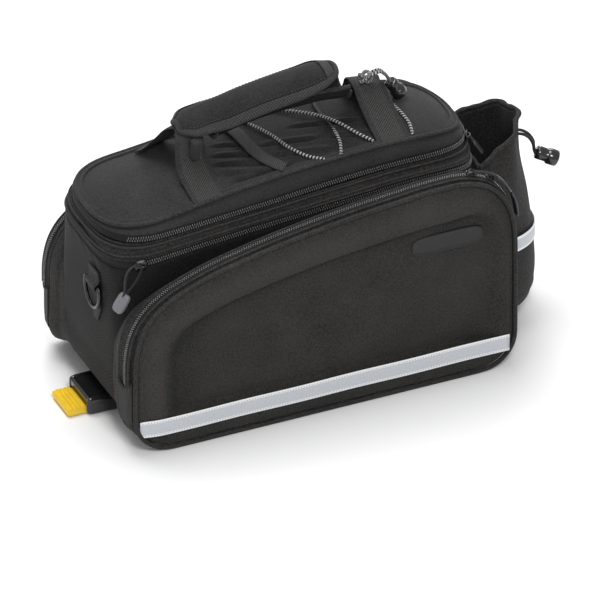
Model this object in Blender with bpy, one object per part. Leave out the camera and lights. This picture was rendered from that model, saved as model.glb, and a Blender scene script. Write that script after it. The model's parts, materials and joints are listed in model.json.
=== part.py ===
"""Bicycle trunk bag with side compartments, a bottle pocket and a quick-release plate.

The bag's length runs along X with the front (lever) end at -X and the bottle pocket at +X.
The near side is -Y, and +Z is up. Lengths are in metres.
"""

import math

import bmesh
import bpy
import numpy as np

MM = 0.001

# Gap left between pieces that touch
FIT = 0.3 * MM

# Side compartments and their moulded shells
SHELL_LENGTH = 360 * MM
SHELL_HEIGHT = 203 * MM
SHELL_OUTER_Y = 100 * MM
SHELL_WALL = 2.4 * MM
SHELL_RECESS = 2.6 * MM
SHELL_FRONT_RADIUS = 34 * MM
SHELL_REAR_RADIUS = 30 * MM
SHELL_LIFT = 4.4 * MM
RIM_DEPTH = 1.4 * MM
RIM_IN = 3 * MM
PANEL_FLOOR = 0.95
GUSSET_WALL = 2.0 * MM
GUSSET_OUTER_Y = 95.5 * MM
PIPING_RADIUS = 2.0 * MM
BEAD_LIFT = 1.4
SIDE_ZIP_WIDTH = 7 * MM
SIDE_ZIP_HEIGHT = 1.0 * MM
SIDE_ZIP_Y = 88 * MM

# Central body
BODY_HALF_WIDTH = 66 * MM
BODY_FRONT = -190 * MM
BODY_REAR = 168 * MM
BODY_BOTTOM = 20 * MM
BODY_WALL = 2.5 * MM
FRONT_END = 50 * MM
REAR_END = 60 * MM
ZIP_HALF = 3.5 * MM
ZIP_WALL = 2.0 * MM

# Lid
LID_HALF_WIDTH = 55 * MM
LID_FRONT = -187 * MM
LID_REAR = 163 * MM
LID_CROWN = 9 * MM
LID_WALL = 2.5 * MM
LID_SKIRT = 5 * MM

# Bottle pocket
POCKET_HALF_WIDTH = 56 * MM
POCKET_DEPTH = 72 * MM
POCKET_BOTTOM = 12 * MM
POCKET_RIM = 198 * MM
POCKET_BACK_DOWN = 14 * MM
POCKET_WALL = 2.0 * MM

# Handle
STRAP_WIDTH = 31 * MM
STRAP_THICK = 1.8 * MM
WRAP_FRONT = -103 * MM
WRAP_REAR = 52 * MM
WRAP_HALF_WIDTH = 22 * MM
WRAP_DROP = 17 * MM
WRAP_WALL = 4 * MM
WRAP_TOP = 298 * MM
WRAP_BOW = 22 * MM

# Base plate, housing and lever, in line from the plate's rear end forwards
PLATE_REAR_IN = 3.7 * MM
PLATE_LENGTH = 298 * MM
PLATE_WIDTH = 62 * MM
HOUSING_LENGTH = 60 * MM
HOUSING_FRONT = BODY_REAR - PLATE_REAR_IN - PLATE_LENGTH - FIT - HOUSING_LENGTH
HOUSING_WIDTH = 40 * MM
HOUSING_HEIGHT = 17 * MM
LEVER_WIDTH = 34 * MM
LEVER_REACH = 18 * MM
LEVER_THICK = 7.5 * MM
LEVER_BOTTOM = 1.5 * MM

# Share of the shell's length and height along its top edge, front to rear
SHELL_TOP_COLUMNS = ("along", "up")
SHELL_TOP = (
    (0.000, 0.50),
    (0.004, 0.56),
    (0.013, 0.635),
    (0.035, 0.712),
    (0.083, 0.785),
    (0.161, 0.842),
    (0.322, 0.910),
    (0.480, 0.956),
    (0.694, 0.992),
    (0.800, 1.000),
    (0.880, 0.985),
    (0.936, 0.935),
    (0.980, 0.825),
    (0.997, 0.700),
    (1.000, 0.560),
)

# Height of each edge line by its place along the body, as shares of the body's length
# and of the shell's height
EDGE_COLUMNS = ("along", "lid", "lid_zip", "body_zip")
EDGES = (
    (0.00, 1.015, 0.980, 0.867),
    (0.08, 1.028, 0.983, 0.877),
    (0.20, 1.050, 0.992, 0.894),
    (0.32, 1.078, 1.012, 0.909),
    (0.44, 1.098, 1.036, 0.921),
    (0.56, 1.112, 1.060, 0.935),
    (0.68, 1.124, 1.074, 0.948),
    (0.78, 1.130, 1.074, 0.963),
    (0.86, 1.124, 1.062, 0.966),
    (0.93, 1.098, 1.042, 0.955),
    (1.00, 1.040, 1.014, 0.926),
)

# Body sections from the bottom up: height share below the zip, how far each end and side
# draws in, and the squareness of the plan
BODY_COLUMNS = ("up", "front_in", "rear_in", "side_in", "square")
BODY_SECTIONS = (
    (0.00, 16 * MM, 8 * MM, 8 * MM, 7.0),
    (0.05, 10 * MM, 2 * MM, 2 * MM, 9.0),
    (0.28, 6 * MM, 0 * MM, 0 * MM, 9.0),
    (0.58, 4.5 * MM, 0 * MM, 0 * MM, 8.0),
    (0.80, 3.5 * MM, 0 * MM, 0 * MM, 6.0),
    (1.00, 0 * MM, 0 * MM, 0 * MM, 3.6),
)

# How far the gusset's edge line stands out from the shell's edge on each side
GUSSET_COLUMNS = ("across", "front", "top", "rear", "bottom")
GUSSET_SECTIONS = (
    (0.00, 7 * MM, -10 * MM, -4 * MM, -20 * MM),
    (0.30, 9 * MM, -1 * MM, 2 * MM, -11 * MM),
    (0.65, 9 * MM, 4 * MM, 4 * MM, -3 * MM),
    (0.90, 8 * MM, 4.5 * MM, 3 * MM, 0 * MM),
    (1.00, 4 * MM, 3 * MM, 2 * MM, 0 * MM),
)

# Pocket sections from the bottom up: shares of the pocket's height, depth and half width
POCKET_COLUMNS = ("up", "depth", "half")
POCKET_SECTIONS = (
    (0.00, 0.94, 0.97),
    (0.10, 1.00, 1.00),
    (0.35, 1.00, 1.00),
    (0.62, 0.94, 0.98),
    (0.85, 0.84, 0.90),
    (0.95, 0.81, 0.86),
    (1.00, 0.81, 0.84),
)

PLAN_POINTS = 42
PROFILE_POINTS = 40


def column(table, columns, name):
    """One named column of a table."""
    index = columns.index(name)
    return np.array([row[index] for row in table], float)


def smooth(xs, ys, x):
    """Cubic curve through the points xs, ys, read at x and flat past the ends."""
    slope = np.gradient(ys, xs)
    x = np.clip(x, xs[0], xs[-1])
    i = np.clip(np.searchsorted(xs, x) - 1, 0, len(xs) - 2)
    step = xs[i + 1] - xs[i]
    s = (x - xs[i]) / step
    start = (1 + 2 * s) * (1 - s) ** 2 * ys[i] + s * (1 - s) ** 2 * step * slope[i]
    end = s * s * (3 - 2 * s) * ys[i + 1] + s * s * (s - 1) * step * slope[i + 1]
    return start + end


def edge_height(x, name):
    """Height of a named edge line at x along the body."""
    along = column(EDGES, EDGE_COLUMNS, "along")
    share = (np.asarray(x, float) - BODY_FRONT) / (BODY_REAR - BODY_FRONT)
    return smooth(along, column(EDGES, EDGE_COLUMNS, name) * SHELL_HEIGHT, share)


def resample(points, count, closed):
    """Evenly spaced points along a polyline."""
    points = np.asarray(points, float)
    if closed:
        points = np.vstack([points, points[:1]])
    length = np.concatenate([[0], np.cumsum(np.linalg.norm(np.diff(points, axis=0), axis=1))])
    where = np.linspace(0, length[-1], count, endpoint=not closed)
    return np.stack([np.interp(where, length, points[:, k]) for k in range(points.shape[1])], -1)


def plan_outline(front, rear, half, square, taper=0.0, count=PLAN_POINTS):
    """Plan of the body: straight sides and two superellipse ends, narrowed towards the rear."""
    turn = np.linspace(0, math.pi / 2, 160)
    power = 2 / square
    sine, cosine = np.sin(turn) ** power, np.cos(turn) ** power
    rear_quarter = np.c_[rear - REAR_END + REAR_END * cosine, -half * sine]
    front_quarter = np.c_[front + FRONT_END - FRONT_END * sine, -half * cosine]
    near = np.vstack([rear_quarter, front_quarter])
    ring = np.vstack([near, near[::-1][1:-1] * [1, -1]])
    middle = (front + rear) / 2
    ring[:, 1] *= 1 - taper * np.clip((ring[:, 0] - middle) / (rear - middle), 0, 1)
    return resample(ring, count, closed=True)


def shell_profile():
    """Side outline of the shell as x, z, all round, starting at the bottom middle."""
    front, rear = -SHELL_LENGTH / 2, SHELL_LENGTH / 2
    turn = np.linspace(0, math.pi / 2, 24)
    front_corner = np.c_[front + SHELL_FRONT_RADIUS * (1 - np.sin(turn)),
                         SHELL_FRONT_RADIUS * (1 - np.cos(turn))]
    rear_corner = np.c_[rear - SHELL_REAR_RADIUS * (1 - np.cos(turn)),
                        SHELL_REAR_RADIUS * (1 - np.sin(turn))]
    along = column(SHELL_TOP, SHELL_TOP_COLUMNS, "along")
    up = column(SHELL_TOP, SHELL_TOP_COLUMNS, "up")
    travel = np.concatenate([[0], np.cumsum(np.hypot(np.diff(along) * SHELL_LENGTH,
                                                     np.diff(up) * SHELL_HEIGHT))])
    where = np.linspace(0, travel[-1], 160)
    top = np.c_[front + smooth(travel, along, where) * SHELL_LENGTH,
                smooth(travel, up, where) * SHELL_HEIGHT]
    loop = np.vstack([[[0, 0]], front_corner, top, rear_corner])
    loop[:, 1] = SHELL_LIFT + loop[:, 1] * (SHELL_HEIGHT - SHELL_LIFT) / SHELL_HEIGHT
    return resample(loop, PROFILE_POINTS, closed=True)


def profile_normals(profile):
    """Outward unit normals of a closed x, z loop that runs bottom, front, top, rear."""
    tangent = np.roll(profile, -1, axis=0) - np.roll(profile, 1, axis=0)
    normal = np.c_[-tangent[:, 1], tangent[:, 0]]
    return normal / np.linalg.norm(normal, axis=1)[:, None]


def offset_profile(front, top, rear, bottom):
    """Shell outline moved outwards by an amount that depends on which way each point faces."""
    profile = shell_profile()
    normal = profile_normals(profile)
    amount = (front * np.clip(-normal[:, 0], 0, 1) ** 2 + rear * np.clip(normal[:, 0], 0, 1) ** 2
              + top * np.clip(normal[:, 1], 0, 1) ** 2 + bottom * np.clip(-normal[:, 1], 0, 1) ** 2)
    return profile + normal * amount[:, None]


def ring_faces(rows, count, loop):
    """Quads between successive closed rings of count points."""
    faces = []
    last = rows if loop else rows - 1
    for row in range(last):
        following = (row + 1) % rows
        for k in range(count):
            after = (k + 1) % count
            faces.append((row * count + k, row * count + after,
                          following * count + after, following * count + k))
    return faces


def finish_mesh(name, verts, faces, material, sharp_degrees=40):
    """Object from points and faces, with outward normals, smooth shading and a material."""
    mesh = bpy.data.meshes.new(name)
    mesh.from_pydata([tuple(v) for v in verts], [], faces)
    body = bmesh.new()
    body.from_mesh(mesh)
    bmesh.ops.recalc_face_normals(body, faces=body.faces)
    if body.calc_volume(signed=True) < 0:
        bmesh.ops.reverse_faces(body, faces=body.faces)
    body.to_mesh(mesh)
    body.free()
    mesh.shade_smooth()
    mesh.set_sharp_from_angle(angle=math.radians(sharp_degrees))
    mesh.materials.append(material)
    item = bpy.data.objects.new(name, mesh)
    bpy.context.scene.collection.objects.link(item)
    item.parent = bpy.data.objects[FRAME]
    return item


def ring_body(name, rings, material, loop=False):
    """Closed body through rings: a loop of rings, or a stack closed by fans at both ends."""
    count = len(rings[0])
    verts = np.vstack(rings)
    faces = ring_faces(len(rings), count, loop)
    if not loop:
        first, last = len(verts), len(verts) + 1
        verts = np.vstack([verts, rings[0].mean(axis=0), rings[-1].mean(axis=0)])
        top = (len(rings) - 1) * count
        for k in range(count):
            after = (k + 1) % count
            faces.append((first, after, k))
            faces.append((last, top + k, top + after))
    return finish_mesh(name, verts, faces, material)


def sheet_body(name, outer, inner, material):
    """Closed body between two open grids of points, rows by columns."""
    rows, cols = outer.shape[:2]
    verts = np.vstack([outer.reshape(-1, 3), inner.reshape(-1, 3)])
    shift = rows * cols
    faces = []
    for r in range(rows - 1):
        for c in range(cols - 1):
            a, b = r * cols + c, r * cols + c + 1
            d, e = (r + 1) * cols + c, (r + 1) * cols + c + 1
            faces.append((a, b, e, d))
            faces.append((shift + a, shift + d, shift + e, shift + b))
    border = ([c for c in range(cols)] + [r * cols + cols - 1 for r in range(1, rows)]
              + [(rows - 1) * cols + c for c in range(cols - 2, -1, -1)]
              + [r * cols for r in range(rows - 2, 0, -1)])
    for k, a in enumerate(border):
        b = border[(k + 1) % len(border)]
        faces.append((a, shift + a, shift + b, b))
    return finish_mesh(name, verts, faces, material)


def place(ring, height):
    """Plan ring lifted to a height for each point."""
    return np.c_[ring, np.broadcast_to(height, len(ring))]


def tube(name, points, radius, material, cyclic=False, sides=2):
    """Round cord or wire as a bevelled curve through points, with filled caps."""
    curve = bpy.data.curves.new(name, "CURVE")
    curve.dimensions = "3D"
    curve.bevel_depth = radius
    curve.bevel_resolution = sides
    curve.use_fill_caps = True
    spline = curve.splines.new("POLY")
    spline.points.add(len(points) - 1)
    for point, place_at in zip(spline.points, points):
        point.co = (*place_at, 1)
    spline.use_cyclic_u = cyclic
    curve.materials.append(material)
    item = bpy.data.objects.new(name, curve)
    bpy.context.scene.collection.objects.link(item)
    item.parent = bpy.data.objects[FRAME]
    return item


def curve_through(points, count):
    """Smooth curve through a short list of points, read at evenly spaced places."""
    points = np.asarray(points, float)
    travel = np.concatenate([[0], np.cumsum(np.linalg.norm(np.diff(points, axis=0), axis=1))])
    where = np.linspace(0, travel[-1], count)
    return np.stack([smooth(travel, points[:, k], where) for k in range(3)], -1)


def plain(name, color, roughness, metallic=0.0):
    """Principled material with one colour, roughness and metallic value."""
    material = bpy.data.materials.new(name)
    material.use_nodes = True
    shader = material.node_tree.nodes["Principled BSDF"]
    shader.inputs["Base Color"].default_value = (*color, 1)
    shader.inputs["Roughness"].default_value = roughness
    shader.inputs["Metallic"].default_value = metallic
    return material


def lid_half(x):
    """Half width of the lid at x on its straight sides."""
    return LID_HALF_WIDTH * (1 - LID_TAPER * np.clip((x - LID_MIDDLE) / (LID_REAR - LID_MIDDLE), 0, 1))


def lid_radius(x, y):
    """Share of the way from the lid's middle to its edge, 0 to 1, in plan."""
    front_middle, rear_middle = LID_FRONT + FRONT_END, LID_REAR - REAR_END
    ahead = np.clip((front_middle - x) / FRONT_END, 0, None)
    behind = np.clip((x - rear_middle) / REAR_END, 0, None)
    half = lid_half(x)
    return (np.maximum(ahead, behind) ** LID_SQUARE + np.abs(y / half) ** LID_SQUARE) ** (1 / LID_SQUARE)


def lid_height(x, y):
    """Top of the lid at a place in plan: its edge line plus a low crown."""
    share = np.clip(lid_radius(x, y), 0, 1)
    return edge_height(x, "lid") + LID_CROWN * (1 - share ** 2.5)


def body_ring(section_up):
    """Outer ring of the body at a share of its height, from the bottom to the body zip."""
    up = column(BODY_SECTIONS, BODY_COLUMNS, "up")
    front_in, rear_in, side_in, square = (
        smooth(up, column(BODY_SECTIONS, BODY_COLUMNS, name), section_up) for name in BODY_COLUMNS[1:])
    ring = plan_outline(BODY_FRONT + front_in, BODY_REAR - rear_in, BODY_HALF_WIDTH - side_in, square,
                        BODY_TAPER * max(0, section_up - 0.8) / 0.2)
    top = edge_height(ring[:, 0], "body_zip") - ZIP_HALF - FIT
    return place(ring, BODY_BOTTOM + (top - BODY_BOTTOM) * section_up)


def inset(ring, amount):
    """Plan ring drawn in towards its middle line by an amount, at the same heights."""
    ahead = np.roll(ring[:, :2], -1, axis=0) - np.roll(ring[:, :2], 1, axis=0)
    inward = np.c_[ahead[:, 1], -ahead[:, 0]]
    inward /= np.linalg.norm(inward, axis=1)[:, None]
    return np.c_[ring[:, :2] + inward * amount, ring[:, 2]]


def build_body(cloth):
    """Open tub of padded cloth up to the body zip."""
    outer = [body_ring(up) for up in (0.0, 0.05, 0.28, 0.58, 0.80, 1.0)]
    inner = [inset(body_ring(up), BODY_WALL) for up in (1.0, 0.80, 0.58, 0.05)]
    floor = inset(body_ring(0.05), 2 * BODY_WALL)
    floor[:, 2] = BODY_BOTTOM + BODY_WALL
    inner[-1][:, 2] += BODY_WALL
    return ring_body("main_body", outer + inner + [floor], cloth)


def edge_plan(share):
    """Plan of the wall between the body zip (share 0) and the lid zip (share 1)."""
    half = BODY_HALF_WIDTH + (ZIP_LINE_HALF_WIDTH - BODY_HALF_WIDTH) * share
    square = BODY_SECTIONS[-1][BODY_COLUMNS.index("square")] * (1 - share) + LID_SQUARE * share
    taper = BODY_TAPER + (LID_TAPER - BODY_TAPER) * share
    return plan_outline(BODY_FRONT + share * ZIP_LINE_FRONT_IN, BODY_REAR, half, square, taper)


def wall_band(name, low, high, thickness, material):
    """Upright band of cloth or tape between two outer rings."""
    rings = [low, high, inset(high, thickness), inset(low, thickness)]
    return ring_body(name, rings, material, loop=True)


def build_upper_walls(cloth, tape):
    """Body zip, the cloth collar above it, and the lid zip, stacked round the opening."""
    low, high = edge_plan(0), edge_plan(1)
    low_line = edge_height(low[:, 0], "body_zip")
    high_line = edge_height(high[:, 0], "lid_zip")
    clear = ZIP_HALF + FIT
    wall_band("body_zip", place(low, low_line - ZIP_HALF), place(low, low_line + ZIP_HALF),
              ZIP_WALL, tape)
    wall_band("collar", place(low, low_line + clear), place(high, high_line - clear), BODY_WALL, cloth)
    wall_band("lid_zip", place(high, high_line - ZIP_HALF), place(high, high_line + ZIP_HALF),
              ZIP_WALL, tape)


def lid_ring(share, drop=0.0):
    """Ring of the lid at a share of the way out, following its crown."""
    rim = plan_outline(LID_FRONT, LID_REAR, LID_HALF_WIDTH, LID_SQUARE, LID_TAPER)
    spine = np.c_[np.clip(rim[:, 0], LID_FRONT + FRONT_END, LID_REAR - REAR_END), np.zeros(len(rim))]
    ring = spine + (rim - spine) * share
    return place(ring, lid_height(ring[:, 0], ring[:, 1]) - drop)


def build_lid(cloth, trim):
    """Soft lid with a low crown and a short skirt, and the piping round its edge."""
    skirt = edge_plan(1)
    skirt_low = edge_height(skirt[:, 0], "lid_zip") + ZIP_HALF + FIT
    shoulder = (lid_ring(1.0) + place(skirt, skirt_low)) / 2
    shoulder[:, 2] = lid_ring(1.0)[:, 2] - LID_SKIRT / 2
    shoulder[:, :2] = skirt - (skirt - lid_ring(1.0)[:, :2]) * 0.2
    outer = [lid_ring(share) for share in (0.12, 0.55, 0.85, 1.0)]
    inner = [lid_ring(share, LID_WALL) for share in (0.94, 0.55, 0.12)]
    under = inset(place(skirt, skirt_low), LID_WALL)
    ring_body("lid", outer + [shoulder, place(skirt, skirt_low), under] + inner, cloth)
    bead = lid_ring(1.0)
    bead[:, 2] += BEAD_LIFT * PIPING_RADIUS + FIT
    tube("lid_piping", bead, PIPING_RADIUS, trim, cyclic=True, sides=1)


def side_ring(y, profile):
    """Profile of x, z points placed in the upright plane at y."""
    return np.c_[profile[:, 0], np.full(len(profile), y), profile[:, 1]]


def gusset_offsets(share):
    """Front, top, rear and bottom offsets of the gusset at a share of the way across."""
    across = column(GUSSET_SECTIONS, GUSSET_COLUMNS, "across")
    return [float(smooth(across, column(GUSSET_SECTIONS, GUSSET_COLUMNS, name), share))
            for name in GUSSET_COLUMNS[1:]]


def gusset_ring(side, share, inward=0.0):
    """Gusset edge line at a share of the way from the body (0) to the shell (1)."""
    inner_y = BODY_HALF_WIDTH + FIT
    y = inner_y + (GUSSET_OUTER_Y - inner_y) * share
    profile = offset_profile(*(amount - inward for amount in gusset_offsets(share)))
    return side_ring(side * y, profile)


def build_gusset(name, side, cloth):
    """Padded cloth wall all round a side compartment, open towards the body and the shell."""
    outer = [gusset_ring(side, share) for share in (0.0, 0.30, 0.65, 0.90, 1.0)]
    inner = [gusset_ring(side, share, GUSSET_WALL) for share in (1.0, 0.65, 0.30, 0.0)]
    ring_body(name, outer + inner, cloth, loop=True)


def shell_ring(side, y, draw_in):
    """Ring of the moulded shell: the shell outline drawn in by an amount, at y."""
    return side_ring(side * y, offset_profile(-draw_in, -draw_in, -draw_in, -draw_in))


def scaled_ring(side, y, share):
    """Ring of the panel inside the shell's border, shrunk to a share round its middle."""
    border = offset_profile(*(-amount for amount in PANEL_BORDER))
    middle = np.array([0.0, SHELL_HEIGHT / 2])
    return side_ring(side * y, middle + (border - middle) * share)


def build_shell(name, side, moulding):
    """Moulded foam shell with a round-edged rim and a large recessed panel."""
    low = SHELL_OUTER_Y - SHELL_RECESS
    back = GUSSET_OUTER_Y + FIT
    outer = [scaled_ring(side, low, PANEL_FLOOR), scaled_ring(side, SHELL_OUTER_Y, 1.0),
             shell_ring(side, SHELL_OUTER_Y, RIM_IN), shell_ring(side, SHELL_OUTER_Y - RIM_DEPTH, 0)]
    inner = [shell_ring(side, back, 0), shell_ring(side, back, SHELL_WALL),
             scaled_ring(side, back, 1.02), scaled_ring(side, low - SHELL_WALL, PANEL_FLOOR - 0.02)]
    ring_body(name, outer + inner, moulding)


def band_on_gusset(name, side, material):
    """Zip tape along the gusset, over its top from the front seam to the rear."""
    share = (SIDE_ZIP_Y - BODY_HALF_WIDTH) / (GUSSET_OUTER_Y - BODY_HALF_WIDTH)
    reach = SIDE_ZIP_WIDTH / 2 / (GUSSET_OUTER_Y - BODY_HALF_WIDTH)
    keep = gusset_ring(side, share)[:, 2] > SIDE_ZIP_END * SHELL_HEIGHT
    start = int(np.argmax(keep))
    stretch = np.arange(start, start + int(keep.sum()))
    rows = [(share - reach, -FIT), (share + reach, -FIT),
            (share + reach, -FIT - SIDE_ZIP_HEIGHT), (share - reach, -FIT - SIDE_ZIP_HEIGHT)]
    sides = np.stack([gusset_ring(side, *row)[stretch] for row in rows])
    strip_body(name, sides, material)


def strip_body(name, sides, material):
    """Closed bar through four long edges, each a row of points, with flat ends."""
    return ring_body(name, list(np.moveaxis(sides, 0, 1)), material)


def build_side(name, side, cloth, moulding, tape, trim, shine):
    """One side compartment: gusset, shell, zip, piping and reflective strip."""
    build_gusset("gusset_" + name, side, cloth)
    build_shell("shell_" + name, side, moulding)
    band_on_gusset("side_zip_" + name, side, tape)
    bead = shell_ring(side, GUSSET_OUTER_Y + FIT + PIPING_RADIUS, -PIPING_RADIUS - FIT)
    tube("shell_piping_" + name, bead, PIPING_RADIUS, trim, cyclic=True, sides=1)
    build_strip("strip_" + name, side, shine)


def build_strip(name, side, shine):
    """Reflective strip sewn along the lower part of the shell."""
    front = -SHELL_LENGTH / 2 + STRIP_INSET
    along = np.linspace(front, -front, 9)
    y = side * (SHELL_OUTER_Y + FIT)
    deep = side * (SHELL_OUTER_Y + FIT + STRIP_THICK)
    edges = [(y, STRIP_BOTTOM), (y, STRIP_BOTTOM + STRIP_HEIGHT),
             (deep, STRIP_BOTTOM + STRIP_HEIGHT), (deep, STRIP_BOTTOM)]
    sides = np.stack([np.c_[along, np.full(len(along), at), np.full(len(along), up)]
                      for at, up in edges])
    strip_body(name, sides, shine)


def build_patch(plastic):
    """Bare badge on the near shell's recessed panel, rounded and low."""
    turn = np.linspace(0, 2 * math.pi, 24, endpoint=False)
    across = np.sign(np.cos(turn)) * np.abs(np.cos(turn)) ** 0.4
    up = np.sign(np.sin(turn)) * np.abs(np.sin(turn)) ** 0.6
    rings = []
    y = -(SHELL_OUTER_Y - SHELL_RECESS + FIT)
    for out, share in ((0, 1.0), (0.6, 1.0), (1.0, 0.9)):
        rings.append(np.c_[PATCH_X + across * share * PATCH_LENGTH / 2,
                           np.full(len(turn), y - out * PATCH_THICK),
                           PATCH_Z + up * share * PATCH_HEIGHT / 2])
    ring_body("patch", rings, plastic)


def pocket_ring(share, inward=0.0):
    """Ring of the pocket at a share of its height: a half oval with a straight back."""
    up = column(POCKET_SECTIONS, POCKET_COLUMNS, "up")
    depth = smooth(up, column(POCKET_SECTIONS, POCKET_COLUMNS, "depth"), share) * POCKET_DEPTH
    half = smooth(up, column(POCKET_SECTIONS, POCKET_COLUMNS, "half"), share) * POCKET_HALF_WIDTH
    turn = np.linspace(-math.pi / 2, math.pi / 2, 25)
    bow = np.c_[(depth - inward) * np.cos(turn) ** 0.9, (half - inward) * np.sin(turn)]
    back = np.c_[np.zeros(5), np.linspace(half - inward, inward - half, 7)[1:-1]]
    plan = np.vstack([bow, back])
    plan[:, 0] = BODY_REAR + FIT + np.maximum(plan[:, 0], inward)
    dip = POCKET_RIM - (edge_height(BODY_REAR, "body_zip") - POCKET_BACK_DOWN)
    rim = POCKET_RIM - dip * (1 - np.clip((plan[:, 0] - BODY_REAR) / depth, 0, 1)) ** 1.4
    return place(plan, POCKET_BOTTOM + (rim - POCKET_BOTTOM) * share)


def build_pocket(cloth, trim, shine):
    """Soft open bottle pocket on the rear wall, its drawn hem and its reflective strip."""
    outer = [pocket_ring(share) for share in (0.0, 0.10, 0.35, 0.62, 0.85, 1.0)]
    inner = [pocket_ring(share, POCKET_WALL) for share in (1.0, 0.85, 0.62, 0.10)]
    floor = pocket_ring(0.0, 2 * POCKET_WALL)
    floor[:, 2] += POCKET_WALL
    ring_body("bottle_pocket", outer + inner + [floor], cloth)
    hem = pocket_ring(1.0, POCKET_WALL / 2)
    back = np.maximum(hem[:, 0], BODY_REAR + HEM_RADIUS + 2 * FIT)
    hem[:, 2] += HEM_LIFT * HEM_RADIUS + FIT + (back - hem[:, 0]) * HEM_SLOPE
    hem[:, 0] = back
    tube("pocket_hem", hem, HEM_RADIUS, trim, cyclic=True, sides=1)
    turn = np.radians(np.linspace(-78, 78, 21))
    up = POCKET_STRIP_UP + POCKET_STRIP_RISE * np.sin(turn) ** 2
    edges = [(FIT, -0.5), (FIT, 0.5), (FIT + STRIP_THICK, 0.5), (FIT + STRIP_THICK, -0.5)]
    sides = []
    for out, half in edges:
        height = up + half * POCKET_STRIP_HEIGHT
        share = (height - POCKET_BOTTOM) / (POCKET_RIM - POCKET_BOTTOM)
        sides.append([pocket_point(angle, at, out, z) for angle, at, z in zip(turn, share, height)])
    strip_body("strip_pocket", np.array(sides), shine)


def pocket_point(angle, share, out, height):
    """Point just outside the pocket's wall, at an angle from straight back."""
    up = column(POCKET_SECTIONS, POCKET_COLUMNS, "up")
    depth = smooth(up, column(POCKET_SECTIONS, POCKET_COLUMNS, "depth"), share) * POCKET_DEPTH
    half = smooth(up, column(POCKET_SECTIONS, POCKET_COLUMNS, "half"), share) * POCKET_HALF_WIDTH
    return (BODY_REAR + FIT + (depth + out + POCKET_SLACK) * math.cos(angle) ** 0.9,
            (half + out + POCKET_SLACK) * math.sin(angle), height)


def ribbon(name, centres, across, widths, thickness, material):
    """Flat webbing: a rectangle carried along a path, turned by the given across directions."""
    centres, across = np.asarray(centres, float), np.asarray(across, float)
    across /= np.linalg.norm(across, axis=1)[:, None]
    along = np.gradient(centres, axis=0)
    up = np.cross(along, across)
    up /= np.linalg.norm(up, axis=1)[:, None]
    half = across * np.asarray(widths, float)[:, None] / 2
    lift = up * thickness / 2
    sides = np.stack([centres - half - lift, centres + half - lift,
                      centres + half + lift, centres - half + lift])
    return strip_body(name, sides, material)


def wrap_top(x):
    """Height of the handle wrap's crest at x."""
    along = column(WRAP_SECTIONS, WRAP_COLUMNS, "along")
    share = (np.asarray(x, float) - WRAP_FRONT) / (WRAP_REAR - WRAP_FRONT)
    return WRAP_TOP - WRAP_BOW * smooth(along, column(WRAP_SECTIONS, WRAP_COLUMNS, "fall"), share)


def build_wrap(cloth, lining):
    """Padded handle wrap, a saddle of cloth over the straps, with its inner flap below."""
    along = np.linspace(0, 1, 13)
    across = np.linspace(-1, 1, 11)
    shares = column(WRAP_SECTIONS, WRAP_COLUMNS, "along")
    half = WRAP_HALF_WIDTH * smooth(shares, column(WRAP_SECTIONS, WRAP_COLUMNS, "half"), along)
    drop = WRAP_DROP * smooth(shares, column(WRAP_SECTIONS, WRAP_COLUMNS, "drop"), along)
    x = WRAP_FRONT + (WRAP_REAR - WRAP_FRONT) * along
    crest = wrap_top(x)
    outer = np.stack([np.broadcast_to(x[:, None], (13, 11)), half[:, None] * across,
                      crest[:, None] - drop[:, None] * np.abs(across) ** 2.4], -1)
    inner = outer.copy()
    inner[..., 1] *= 1 - WRAP_WALL / WRAP_HALF_WIDTH
    inner[..., 2] -= WRAP_WALL * (1 - 0.35 * np.abs(across) ** 2.4)
    sheet_body("handle_wrap", outer, inner, cloth)
    x = np.linspace(FLAP_FRONT, FLAP_REAR, 11)
    roof = wrap_top(x) - WRAP_WALL - FIT
    low = roof - FLAP_DEPTH
    turn = np.linspace(0, math.pi, 9)
    tray = np.stack([np.broadcast_to(x[:, None], (11, 9)),
                     np.broadcast_to(-FLAP_HALF_WIDTH * np.cos(turn), (11, 9)),
                     low[:, None] + (roof - FLAP_SIDE_CLEAR - low)[:, None] * (1 - np.sin(turn) ** 0.6)], -1)
    inside = tray.copy()
    inside[..., 1] *= 1 - FLAP_WALL / FLAP_HALF_WIDTH
    inside[..., 2] += FLAP_WALL * np.sin(turn)
    sheet_body("handle_flap", tray, inside, lining)


def build_handle_strap(name, x, crest, lean, stations, material):
    """Webbing arch over the lid, from its near edge over a crest to its far edge."""
    across = column(stations, STRAP_COLUMNS, "across")
    travel = np.linspace(0, len(across) - 1, 2 * len(across) - 1)
    index = np.arange(len(across), dtype=float)
    y = smooth(index, across, travel) * lid_half(x) * STRAP_SPREAD
    rise = smooth(index, column(stations, STRAP_COLUMNS, "rise"), travel)
    shift = smooth(index, column(stations, STRAP_COLUMNS, "shift"), travel) * STRAP_WIDTH
    wide = smooth(index, column(stations, STRAP_COLUMNS, "width"), travel) * STRAP_WIDTH
    tilt = smooth(index, column(stations, STRAP_COLUMNS, "tilt"), travel)
    ahead, behind = lid_height(x + shift - wide / 2, y), lid_height(x + shift + wide / 2, y)
    edge = (ahead + behind) / 2 + STRAP_THICK / 2 + STRAP_FOOT
    z = edge + (crest - edge) * rise
    centres = np.c_[x + shift, y, z]
    slope = tilt + (behind - ahead) / wide * (1 - rise)
    directions = np.c_[np.ones(len(y)), lean * np.ones(len(y)), slope]
    ribbon(name, centres, directions, wide, STRAP_THICK, material)


def on_lid(x, y, lift):
    """Point at a height above the lid's top."""
    return (x, y, float(lid_height(np.float64(x), np.float64(y))) + lift)


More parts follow.
